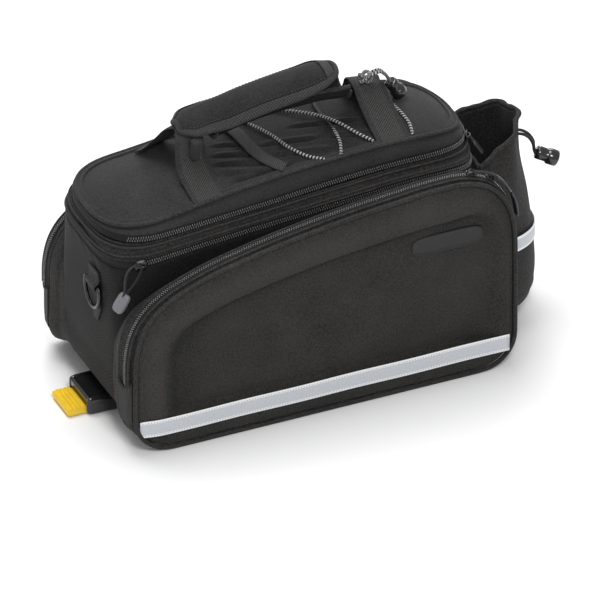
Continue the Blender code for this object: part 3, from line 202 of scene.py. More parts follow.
class Paint:
    """One procedural material while it is being mixed."""

    def __init__(self, name: str) -> None:
        """Start a material with an empty Principled shader.

        Args:
            name: Name of the material.
        """
        self.material = bpy.data.materials.new(name)
        self.material.use_nodes = True
        self.tree = self.material.node_tree
        self.shader = self.tree.nodes["Principled BSDF"]

    def node(self, kind: str, settings: dict[str, object], inputs: dict[int | str, object],
             out: int | str = 0) -> Tone:
        """Any node: its settings first, then the values or links of its sockets.

        Args:
            kind: Blender's node type.
            settings: Attributes of the node, such as a Math node's operation.
            inputs: Socket index or name to a number, a vector, a colour or a Tone.
            out: Output socket that the result stands for.

        Returns:
            The chosen output.
        """
        made = self.tree.nodes.new(kind)
        for key, value in settings.items():
            setattr(made, key, value)
        for key, value in inputs.items():
            if isinstance(value, Tone):
                self.tree.links.new(value.socket, made.inputs[key])
            else:
                made.inputs[key].default_value = value
        return Tone(self, made.outputs[out])

    def span(self) -> tuple[Tone, Tone]:
        """The piece's own UV map, in millimetres along and across."""
        uv = self.node("ShaderNodeUVMap", {"uv_map": "span"}, {})
        return (self.node("ShaderNodeSeparateXYZ", {}, {0: uv}, 0),
                self.node("ShaderNodeSeparateXYZ", {}, {0: uv}, 1))

    def place(self) -> Tone:
        """Object coordinates."""
        return self.node("ShaderNodeTexCoord", {}, {}, "Object")

    def mark(self, name: str) -> Tone:
        """A named attribute of the piece."""
        return self.node("ShaderNodeAttribute", {"attribute_name": name}, {}, "Fac")

    def noise(self, size: float, detail: float = 2.0, where: Tone | None = None) -> Tone:
        """Soft noise, 0 to 1.

        Args:
            size: Size of one patch in millimetres.
            detail: Octaves of finer noise.
            where: Coordinates, or None for Object coordinates.

        Returns:
            The noise value.
        """
        return self.node("ShaderNodeTexNoise", {}, {"Vector": where or self.place(),
                                                    "Scale": 1 / (size * MM), "Detail": detail})

    def mix(self, share: Tone | float, dark: Colour | Tone, light: Colour | Tone) -> Tone:
        """Colour between two colours.

        Args:
            share: 0 for the first colour, 1 for the second.
            dark: First colour.
            light: Second colour.

        Returns:
            The mixed colour.
        """
        ends = [end if isinstance(end, Tone) else (*end, 1.0) for end in (dark, light)]
        return self.node("ShaderNodeMix", {"data_type": "RGBA"}, {0: share, 6: ends[0], 7: ends[1]}, 2)

    def shade(self, share: Tone, colour: Colour, dark: float, light: float) -> Tone:
        """One colour between its darker and its lighter multiple, by a share."""
        ends = (tuple(channel * times for channel in colour) for times in (dark, light))
        return self.mix(share, *ends)

    def finish(self, colour: Tone, rough: Tone | float, height: Tone | None = None,
               **constants: float) -> bpy.types.Material:
        """Join the pattern to the shader.

        Args:
            colour: Base colour.
            rough: Roughness.
            height: Relief in millimetres.
            constants: Plain values of further shader sockets, with underscores for spaces.

        Returns:
            The finished material.
        """
        self.tree.links.new(colour.socket, self.shader.inputs["Base Color"])
        if isinstance(rough, Tone):
            self.tree.links.new(rough.socket, self.shader.inputs["Roughness"])
        else:
            self.shader.inputs["Roughness"].default_value = rough
        if height is not None:
            bump = self.node("ShaderNodeBump", {}, {"Height": height, "Distance": MM, "Strength": 1.0})
            self.tree.links.new(bump.socket, self.shader.inputs["Normal"])
        for key, value in constants.items():
            self.shader.inputs[key.replace("_", " ")].default_value = value
        return self.material


@dataclass(frozen=True)
class Weave:
    """Plain-woven cloth: yarns that pass over and under each other, slubs and faint mottling."""

    name: str
    colour: Colour
    pitch: float = 1.1
    relief: float = 0.10
    slub: float = 0.55
    rough: float = 0.82
    sheen: float = 0.03

    def make(self) -> bpy.types.Material:
        """Mix the cloth.

        The yarn on top is the warp where both waves have one sign and the weft elsewhere.
        """
        paint = Paint(self.name)
        along, across = paint.span()
        one, other = along.wave(2 * self.pitch), across.wave(2 * self.pitch)
        over = (one * other) > 0.0
        yarn = over * abs(one) + (1 - over) * abs(other)
        slub = paint.noise(1.7, 3.0)
        mottle = paint.noise(38.0, 2.0)
        # Painted light and shade: the attribute read here lightens the cloth where a highlight is
        # painted and darkens it where shade is painted.
        painted_shading = paint.mark("worn")
        share = (yarn * 0.35 + (slub - 0.5) * (4.2 * self.slub) + (mottle - 0.5) * 0.5 + 0.33
                 + painted_shading * 0.6).clamp()
        colour = paint.shade(share, self.colour, 0.25, 2.7)
        return paint.finish(colour, (self.rough - yarn * 0.08), yarn * self.relief + slub * 0.35,
                            Sheen_Weight=self.sheen, Sheen_Roughness=0.4, Specular_IOR_Level=0.22)


@dataclass(frozen=True)
class Twill:
    """Webbing with diagonal ribs and smoother, lighter selvedges."""

    name: str
    colour: Colour
    pitch: float = 2.3
    relief: float = 0.35

    def make(self) -> bpy.types.Material:
        """Mix the webbing: ribs run where along plus across keeps one phase, in broken steps."""
        paint = Paint(self.name)
        along, across = paint.span()
        rib = abs((along + across * 0.8).wave(2 * self.pitch))
        pick = abs((along - across * 1.6).wave(2.6))
        edge = abs(paint.mark("across")).ramp(0.80, 0.90)
        weave = rib * (1 - edge * 0.7) * 0.7 + pick * 0.3
        share = (weave * 1.1 - 0.15 + (paint.noise(1.5, 2.0) - 0.5) * 0.9 + edge * 0.12).clamp()
        colour = paint.shade(share, self.colour, 0.18, 2.9)
        return paint.finish(colour, 0.75, weave * self.relief, Sheen_Weight=0.03,
                            Specular_IOR_Level=0.25)


@dataclass(frozen=True)
class Tape:
    """Zip tape: fine ribs along its length."""

    name: str
    colour: Colour

    def make(self) -> bpy.types.Material:
        """Mix the tape: ribs across it are a sine of the distance across."""
        paint = Paint(self.name)
        along, across = paint.span()
        rib = abs(across.wave(1.5)) * 0.6 + abs(along.wave(1.1)) * 0.4
        share = (rib * 0.6 + paint.noise(1.4, 2.0) * 0.7 - 0.15).clamp()
        colour = paint.shade(share, self.colour, 0.5, 1.5)
        return paint.finish(colour, 0.72, rib * 0.15, Specular_IOR_Level=0.25)


@dataclass(frozen=True)
class Netting:
    """Spacer mesh of the handle's lining: small round holes in staggered rows."""

    name: str
    colour: Colour

    def make(self) -> bpy.types.Material:
        """Mix the mesh: a hole lies where two crossed waves are both high."""
        paint = Paint(self.name)
        along, across = paint.span()
        hole = (along + across * 0.58).wave(2.4) * (along - across * 0.58).wave(2.4)
        thread = hole.ramp(-0.25, 0.35)
        colour = paint.shade(thread, self.colour, 0.2, 1.8)
        return paint.finish(colour, 0.8, thread * 0.5, Specular_IOR_Level=0.2)


@dataclass(frozen=True)
class Braid:
    """Braided elastic cord: black, with light flecks where two spirals cross."""

    name: str
    colour: Colour
    fleck: Colour
    amount: float = 1.0

    def make(self) -> bpy.types.Material:
        """Mix the cord: u runs along it, v once round it."""
        paint = Paint(self.name)
        along, _ = paint.span()
        around = paint.mark("around")
        left = (along * (1 / 3.1) + around * 0.5).wave(1.0)
        plait = abs((along + around * 1.2).wave(1.3))
        fleck = (left > 0.05) * paint.mark("fleck") * self.amount
        colour = paint.mix(fleck, paint.shade(plait, self.colour, 0.5, 1.5),
                           self.fleck)
        return paint.finish(colour, 0.6, plait * 0.3, Specular_IOR_Level=0.35)


@dataclass(frozen=True)
class Reflector:
    """Reflective tape: silver beads with a fine grid, and plain white edges."""

    name: str
    colour: Colour
    edge: Colour

    def make(self) -> bpy.types.Material:
        """Mix the tape: the attribute across is -1 and 1 at its edges."""
        paint = Paint(self.name)
        along, across = paint.span()
        bead = abs(along.wave(1.6)) * abs(across.wave(1.6))
        grain = paint.noise(2.2, 3.0)
        edge = abs(paint.mark("across")).ramp(0.70, 0.76)
        share = (bead * 0.35 + grain * 0.9 - 0.2).clamp()
        silver = paint.shade(share, self.colour, 0.82, 1.12)
        return paint.finish(paint.mix(edge, silver, self.edge), 0.42, grain * 0.06,
                            Specular_IOR_Level=0.6)


@dataclass(frozen=True)
class Moulding:
    """Moulded plastic or rubber with a fine grain and faint scuffs."""

    name: str
    colour: Colour
    rough: float
    grain: float = 0.04
    coat: float = 0.0

    def make(self) -> bpy.types.Material:
        """Mix the plastic."""
        paint = Paint(self.name)
        pebble = paint.noise(0.7, 2.0)
        scuff = paint.noise(9.0, 4.0)
        share = (0.5 + (scuff - 0.5) * 1.2).clamp()
        colour = paint.shade(share, self.colour, 0.82, 1.18)
        return paint.finish(colour, (self.rough + (scuff - 0.5) * 0.25).clamp(), pebble * self.grain,
                            Coat_Weight=self.coat)


@dataclass(frozen=True)
class Plating:
    """Dark plated metal with faint brushing."""

    name: str
    colour: Colour
    rough: float = 0.3

    def make(self) -> bpy.types.Material:
        """Mix the metal."""
        paint = Paint(self.name)
        brush = paint.noise(1.2, 4.0)
        colour = paint.shade(brush, self.colour, 0.75, 1.25)
        return paint.finish(colour, (self.rough + (brush - 0.5) * 0.2).clamp(), brush * 0.03,
                            Metallic=1.0)


FINISHES = {
    "cloth": (Slot.CLOTH, Weave("black_weave", (0.0135, 0.0125, 0.0122))),
    # Painted shade: a darker copy of the black cloth in the same slot, given to the body tub so that it
    # looks shaded.
    "dark": (Slot.CLOTH, Weave("dark_weave", (0.0040, 0.0038, 0.0037))),
    "lid": (Slot.LID, Weave("lid_weave", (0.0130, 0.0131, 0.0136), pitch=0.8, relief=0.07, slub=0.26,
                            sheen=0.06)),
    "moulded": (Slot.MOULDED, Weave("moulded_weave", (0.0150, 0.0140, 0.0134), pitch=1.1, slub=0.36)),
    "tape": (Slot.TAPE, Tape("zip_tape", (0.007, 0.007, 0.007))),
    # Partly the teeth's own black and partly painted highlight: the colour is set lighter to stand in
    # for the teeth's glints.
    "teeth": (Slot.TAPE, Moulding("zip_teeth", (0.088, 0.088, 0.09), 0.26, 0.0, 0.6)),
    "piping": (Slot.PIPING, Weave("piping_weave", (0.016, 0.0155, 0.015), pitch=0.9, slub=0.45)),
    "webbing": (Slot.WEBBING, Twill("webbing", (0.0185, 0.0183, 0.018))),
    "lining": (Slot.LINING, Netting("lining_mesh", (0.008, 0.008, 0.008))),
    "shine": (Slot.SHINE, Reflector("reflective", (0.50, 0.525, 0.56), (0.74, 0.75, 0.76))),
    "thread": (Slot.PIPING, Moulding("thread", (0.030, 0.030, 0.030), 0.6)),
    "plastic": (Slot.PLASTIC, Moulding("black_plastic", (0.008, 0.008, 0.0085), 0.36)),
    "gloss": (Slot.PLASTIC, Moulding("gloss_plastic", (0.010, 0.010, 0.011), 0.2, 0.01, 0.5)),
    "yellow": (Slot.YELLOW, Moulding("yellow_plastic", (0.80, 0.52, 0.018), 0.42)),
    "metal": (Slot.METAL, Plating("dark_metal", (0.055, 0.055, 0.06), 0.32)),
    "badge": (Slot.RUBBER, Moulding("badge_face", (0.007, 0.007, 0.0072), 0.62)),
    "rubber": (Slot.RUBBER, Moulding("rubber", (0.026, 0.026, 0.030), 0.42)),
    "grey": (Slot.GREY, Moulding("grey_rubber", (0.15, 0.152, 0.165), 0.5)),
    "fleck": (Slot.CORD, Braid("flecked_cord", (0.010, 0.010, 0.010), (0.42, 0.42, 0.43))),
    "plain_cord": (Slot.CORD, Braid("plain_cord", (0.020, 0.020, 0.021), (0.2, 0.2, 0.2), 0.0)),
}


class Finishes:
    """The materials, each made when the first piece asks for it."""

    made: dict[str, bpy.types.Material] = {}

    @classmethod
    def dress(cls, piece: bpy.types.Object, name: str) -> None:
        """Give a piece its material.

        Args:
            piece: The finished piece.
            name: Key of FINISHES.
        """
        slot, finish = FINISHES[name]
        if name not in cls.made:
            cls.made[name] = finish.make()
        piece.data.materials.clear()
        piece.data.materials.append(cls.made[name])


@dataclass(frozen=True)
class Table:
    """Short table of named columns, read as smooth curves of the first column."""

    names: tuple[str, ...]
    rows: Rows

    def at(self, name: str, x: Array | float) -> Array:
        """Cubic curve through one column, flat past both ends.

        Args:
            name: Column to read.
            x: Places along the first column.

        Returns:
            The column's values at x.
        """
        data = np.array(self.rows, float)
        return smooth(data[:, 0], data[:, self.names.index(name)], x)


def smooth(xs: Array, ys: Array, x: Array | float) -> Array:
    """Hermite curve through points, with slopes from their neighbours.

    Args:
        xs: Rising places.
        ys: Values there, one column or more.
        x: Where the curve is read.

    Returns:
        The curve at x.
    """
    slope = np.gradient(ys, xs, axis=0)
    x = np.clip(x, xs[0], xs[-1])
    i = np.clip(np.searchsorted(xs, x) - 1, 0, len(xs) - 2)
    step = xs[i + 1] - xs[i]
    s = (x - xs[i]) / step
    if np.ndim(ys) > 1:
        s, step = s[..., None], step[..., None]
    start = (1 + 2 * s) * (1 - s) ** 2 * ys[i] + s * (1 - s) ** 2 * step * slope[i]
    return start + s * s * (3 - 2 * s) * ys[i + 1] + s * s * (s - 1) * step * slope[i + 1]


def travel(path: Array, closed: bool = False) -> Array:
    """Distance travelled along a path at each of its points, and back to the start if closed."""
    loop = np.vstack([path, path[:1]]) if closed else path
    return np.concatenate([[0.0], np.cumsum(np.linalg.norm(np.diff(loop, axis=0), axis=1))])


def even(path: Array, count: int, closed: bool = False) -> Array:
    """Points at equal steps along a path.

    Args:
        path: Points of any number of columns.
        count: How many points to return.
        closed: True where the path meets its own start.

    Returns:
        The evenly spaced points.
    """
    length = travel(path, closed)
    loop = np.vstack([path, path[:1]]) if closed else path
    where = np.linspace(0, length[-1], count, endpoint=not closed)
    return np.stack([np.interp(where, length, loop[:, k]) for k in range(path.shape[1])], -1)


def through(points: list[tuple[float, ...]], count: int) -> Array:
    """Smooth curve through a few points, at even steps.

    Args:
        points: The points in order.
        count: How many points to return.

    Returns:
        The curve's points.
    """
    marks = np.array(points, float)
    length = travel(marks)
    return even(smooth(length, marks, np.linspace(0, length[-1], 6 * count)), count)


def bump(x: Array | float, middle: float, width: float) -> Array:
    """Bell curve of height 1 with the given half width."""
    return np.exp(-((np.asarray(x, float) - middle) / width) ** 2)


def rise(x: Array | float, low: float, high: float) -> Array:
    """0 below low, 1 above high and a smooth S between."""
    s = np.clip((np.asarray(x, float) - low) / (high - low), 0, 1)
    return s * s * (3 - 2 * s)


def crumple(points: Array, seed: int, size: float) -> Array:
    """Soft wandering field from -1 to 1: a sum of waves in seeded directions.

    Args:
        points: Places in millimetres, last axis X, Y, Z.
        seed: Picks the directions and phases.
        size: Typical width of one hollow.

    Returns:
        The field at each place.
    """
    rng = np.random.default_rng(seed)
    total = np.zeros(points.shape[:-1])
    for octave in range(7):
        way = rng.normal(size=3)
        way *= math.pi / size * (0.7 + 0.25 * octave) / np.linalg.norm(way)
        total += np.sin(points @ way + rng.uniform(0, math.tau)) / (1 + 0.35 * octave)
    return total / 2.6


def unit(ways: Array) -> Array:
    """Rows scaled to length 1; a row without length stays as it is."""
    return ways / np.maximum(np.linalg.norm(ways, axis=1), TINY)[:, None]


def directions(path: Array, closed: bool) -> Array:
    """Unit tangents of a path."""
    if closed:
        return unit(np.roll(path, -1, axis=0) - np.roll(path, 1, axis=0))
    return unit(np.gradient(path, axis=0))


def frames(path: Array, up: Array,
           closed: bool) -> tuple[Array, Array, Array]:
    """Unit ways ahead, sideways and up at each point of a path, up squared against the path."""
    ahead = directions(path, closed)
    side = unit(np.cross(ahead, np.broadcast_to(np.asarray(up, float), path.shape)))
    return ahead, side, np.cross(side, ahead)


def carry(profile: Array, path: Array, up: Array, closed: bool = False,
          size: Array | float = 1.0) -> Array:
    """Profile carried along a path.

    The profile's first column runs sideways (across the path), its second along up, after up is
    squared against the path. Each point is path + side * a + up * b.

    Args:
        profile: Points (a, b) in millimetres, shaped (m, 2), or (n, m, 2) where it changes.
        path: Points of the path, shaped (n, 3).
        up: Direction that the profile's top faces, one for all or one per point.
        closed: True for a loop.
        size: Scale of the profile, one for all or one per point.

    Returns:
        The surface's points, shaped (n, m, 3).
    """
    _, side, top = frames(path, up, closed)
    profile = np.broadcast_to(profile, (len(path),) + np.shape(profile)[-2:])
    scale = np.broadcast_to(np.asarray(size, float), (len(path),))[:, None, None]
    shape = profile * scale
    return path[:, None] + side[:, None] * shape[..., :1] + top[:, None] * shape[..., 1:]


def relax(loop: Array, passes: int) -> Array:
    """Closed loop softened: each pass takes a quarter of both neighbours and half of the point."""
    for _ in range(passes):
        loop = (np.roll(loop, 1, axis=0) + 2 * loop + np.roll(loop, -1, axis=0)) / 4
    return loop


def turns(count: int) -> Array:
    """Angles at even steps round a full turn."""
    return np.linspace(0, math.tau, count, endpoint=False)


def rounded(count: int, along: float, across: float) -> tuple[Array, Array]:
    """Two coordinates, -1 to 1, round a rectangle with soft corners.

    Args:
        count: How many points go round.
        along: Power of the cosine, below 1 for squarer ends.
        across: Power of the sine, below 1 for flatter sides.

    Returns:
        The powers of cosine and sine, each with its own sign.
    """
    turn = turns(count)
    return (np.sign(np.cos(turn)) * np.abs(np.cos(turn)) ** along,
            np.sign(np.sin(turn)) * np.abs(np.sin(turn)) ** across)


def circle(radius: float, count: int = 10, flat: float = 1.0) -> Array:
    """Closed round profile, flattened by a share."""
    turn = turns(count)
    return np.c_[np.cos(turn) * radius, np.sin(turn) * radius * flat]


def band(width: float, thick: float, cells: int = 8) -> Array:
    """Closed flat profile with rounded edges, for webbing and tape."""
    half, edge = width / 2, thick / 2
    across = np.linspace(-half + edge, half - edge, cells)
    turn = np.linspace(-math.pi / 2, math.pi / 2, 5)[1:-1]
    right = np.c_[half - edge + edge * np.cos(turn), edge * np.sin(turn)]
    return np.vstack([np.c_[across, np.full(cells, -edge)], right,
                      np.c_[across[::-1], np.full(cells, edge)], -right])


def added(name: str, data: bpy.types.ID) -> bpy.types.Object:
    """New object of the scene that holds a mesh, a camera or a lamp."""
    made = bpy.data.objects.new(name, data)
    bpy.context.scene.collection.objects.link(made)
    return made


@dataclass
class Skin:
    """One piece of the bag as a grid of points, and how it becomes a mesh."""

    name: str
    points: Array
    finish: str
    loop_rows: bool = False
    loop_columns: bool = True
    cap: Cap = Cap.NONE
    wall: float = 0.0
    away_from: Triple | None = None
    marks: dict[str, Array] = field(default_factory=dict)
    body: str = BAG

    def _span(self) -> Array:
        """Distances along rows and columns at every corner, in millimetres."""
        grid = self.points
        if self.loop_rows:
            grid = np.concatenate([grid, grid[:1]], axis=0)
        if self.loop_columns:
            grid = np.concatenate([grid, grid[:, :1]], axis=1)
        down = np.linalg.norm(np.diff(grid, axis=0), axis=2)
        over = np.linalg.norm(np.diff(grid, axis=1), axis=2)
        along = np.concatenate([np.zeros((1, grid.shape[1])), np.cumsum(down, axis=0)], axis=0)
        across = np.concatenate([np.zeros((grid.shape[0], 1)), np.cumsum(over, axis=1)], axis=1)
        return np.stack([along, across], -1)

    def mesh(self) -> bpy.types.Mesh:
        """Mesh of the grid, with its UV map in millimetres and its normals outwards."""
        rows, cols = self.points.shape[:2]
        r, c = np.meshgrid(np.arange(rows if self.loop_rows else rows - 1),
                           np.arange(cols if self.loop_columns else cols - 1), indexing="ij")
        r, c = r.ravel(), c.ravel()
        corners = [(r, c), (r + 1, c), (r + 1, c + 1), (r, c + 1)]
        quads = np.stack([(a % rows) * cols + b % cols for a, b in corners], -1)
        flat = self.points.reshape(-1, 3)
        span = self._span()
        uv = np.stack([span[a, b] for a, b in corners], 1)
        faces = [tuple(q) for q in quads.tolist()]
        corner_uv = [uv.reshape(-1, 2)]
        for ring in self._ends(rows, cols):
            faces.append(ring)
            corner_uv.append(flat[list(ring)][:, :2])
        made = bpy.data.meshes.new(self.name)
        place = flat * MM
        place[:, 0] += SHIFT * MM
        made.from_pydata(place.tolist(), [], faces)
        layer = made.uv_layers.new(name="span")
        layer.data.foreach_set("uv", np.vstack(corner_uv).ravel())
        for name, values in self.marks.items():
            attribute = made.attributes.new(name, "FLOAT", "POINT")
            attribute.data.foreach_set("value", np.broadcast_to(values, (rows, cols)).ravel())
        self._face_outwards(made, place)
        made.shade_smooth()
        return made

    def _ends(self, rows: int, cols: int) -> list[tuple[int, ...]]:
        """Faces that close the first row, the last row or both."""
        last = (rows - 1) * cols
        if self.cap is Cap.BOTH:
            return [tuple(range(cols)), tuple(range(last, last + cols))]
        if self.cap is Cap.FIRST:
            return [tuple(range(cols))]
        if self.cap is Cap.NONE:
            return []
        half = cols // 2
        return [(k, k + 1, (cols - k - 1) % cols, (cols - k) % cols) for k in range(1, half - 1)] + [
            (0, 1, cols - 1), (half - 1, half, half + 1)]

    def _face_outwards(self, made: bpy.types.Mesh, place: Array) -> None:
        """Turn every face the same way, away from the piece's middle or from the given point."""
        centre = Vector(place.mean(axis=0))
        if self.away_from is not None:
            centre = Vector(((self.away_from[0] + SHIFT) * MM, self.away_from[1] * MM,
                             self.away_from[2] * MM))
        solid = bmesh.new()
        solid.from_mesh(made)
        bmesh.ops.recalc_face_normals(solid, faces=solid.faces)
        closed = (self.cap is Cap.BOTH or self.loop_rows) and self.loop_columns
        if closed:
            facing = solid.calc_volume(signed=True)
        else:
            facing = sum(face.calc_area() * face.normal.dot(face.calc_center_median() - centre)
                         for face in solid.faces)
        if facing < 0:
            bmesh.ops.reverse_faces(solid, faces=solid.faces)
        solid.to_mesh(made)
        solid.free()

    def build(self, *nodes: str) -> bpy.types.Object:
        """Make the piece, dress it, and let it stand for CAD nodes.

        Args:
            nodes: CAD nodes that it replaces.

        Returns:
            The finished object.
        """
        piece = added(self.name, self.mesh())
        if self.wall:
            shell = piece.modifiers.new("wall", "SOLIDIFY")
            shell.thickness = self.wall * MM
            shell.offset = -1
        Finishes.dress(piece, self.finish)
        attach(piece, self.body)
        if nodes:
            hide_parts(*nodes)
        return piece


@dataclass
class Cord:
    """Round cord, piping or wire along a path."""

    name: str
    path: Array
    radius: float
    finish: str
    up: Triple = (0.2, 0.1, 1.0)
    closed: bool = False
    sides: int = 12
    body: str = BAG
    taper: Array | float = 1.0
    fleck: Array | float = 1.0

    def build(self, *nodes: str) -> bpy.types.Object:
        """Carry a circle along the path; the attribute around goes once round it."""
        grid = carry(circle(self.radius, self.sides), self.path, self.up, self.closed, self.taper)
        around = np.abs(np.linspace(-1, 1, self.sides, endpoint=False))
        return Skin(self.name, grid, self.finish, loop_rows=self.closed,
                    cap=Cap.NONE if self.closed else Cap.BOTH,
                    marks={"around": around, "fleck": np.broadcast_to(
                        np.reshape(self.fleck, (-1, 1)), grid.shape[:2])}, body=self.body).build(*nodes)


@dataclass
class Row:
    """The same small rounded bar set down again and again along a path: teeth or stitches."""

    name: str
    path: Array
    up: Array
    pitch: float
    size: Triple
    finish: str
    lanes: tuple[Triple, ...] = ((0.0, 0.0, 0.0),)
    closed: bool = False

    def _bar(self) -> tuple[Array, Array, Array]:
        """Points, quads and triangles of one bar: a stretched ball of two poles and three rings."""
        turn = turns(6)
        reach = np.array([0.75, 1.0, 0.75])
        ball = np.vstack([[[0, 0, -1]], np.stack([np.outer(reach, np.cos(turn)).ravel(),
                                                 np.outer(reach, np.sin(turn)).ravel(),
                                                 np.repeat([-0.62, 0.0, 0.62], 6)], -1), [[0, 0, 1]]])
        along, across, high = (s / 2 for s in self.size)
        k = np.arange(6)
        pairs = list(zip(k, (k + 1) % 6))
        quads = [(low + a, low + b, low + 6 + b, low + 6 + a) for low in (1, 7) for a, b in pairs]
        ends = [(0, 1 + b, 1 + a) for a, b in pairs] + [(19, 13 + a, 13 + b) for a, b in pairs]
        points = np.stack([ball[:, 0] * along, ball[:, 2] * across, ball[:, 1] * high], -1)
        return points, np.array(quads), np.array(ends)

    def _lane(self, lane: Triple, bar: Array, count: int) -> Array:
        """Points of every bar of one lane.

        Args:
            lane: Sideways shift, height, and the share of a step by which the lane starts later.
            bar: Points of one bar along, across and up.
            count: How many bars the lane has.

        Returns:
            The points, one bar after the other.
        """
        shift, height, late = lane
        marks = travel(self.path, self.closed)
        where = (np.arange(count) + late) * (marks[-1] / count)
        ups = np.broadcast_to(self.up, self.path.shape)
        if self.closed:
            loop, ups = np.vstack([self.path, self.path[:1]]), np.vstack([ups, ups[:1]])
        else:
            loop = self.path
        at, up = (np.stack([np.interp(where, marks, line[:, j]) for j in range(3)], -1)
                  for line in (loop, ups))
        ahead, side, top = frames(at, up, self.closed)
        at = at + side * shift + top * height
        grid = (at[:, None] + ahead[:, None] * bar[:, :1] + side[:, None] * bar[:, 1:2]
                + top[:, None] * bar[:, 2:])
        return grid.reshape(-1, 3)

    def build(self) -> bpy.types.Object:
        """Set the bars down lane by lane and make them one piece."""
        bar, quads, ends = self._bar()
        count = max(2, int(travel(self.path, self.closed)[-1] / self.pitch))
        spots = np.vstack([self._lane(lane, bar, count) for lane in self.lanes]) * MM
        faces: list[list[int]] = []
        for number in range(len(self.lanes)):
            base = (number * count + np.arange(count)) * len(bar)
            faces += (base[:, None, None] + quads).reshape(-1, 4).tolist()
            faces += (base[:, None, None] + ends).reshape(-1, 3).tolist()
        made = bpy.data.meshes.new(self.name)
        spots[:, 0] += SHIFT * MM
        made.from_pydata(spots.tolist(), [], faces)
        made.shade_smooth()
        piece = added(self.name, made)
        Finishes.dress(piece, self.finish)
        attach(piece, BAG)
        return piece


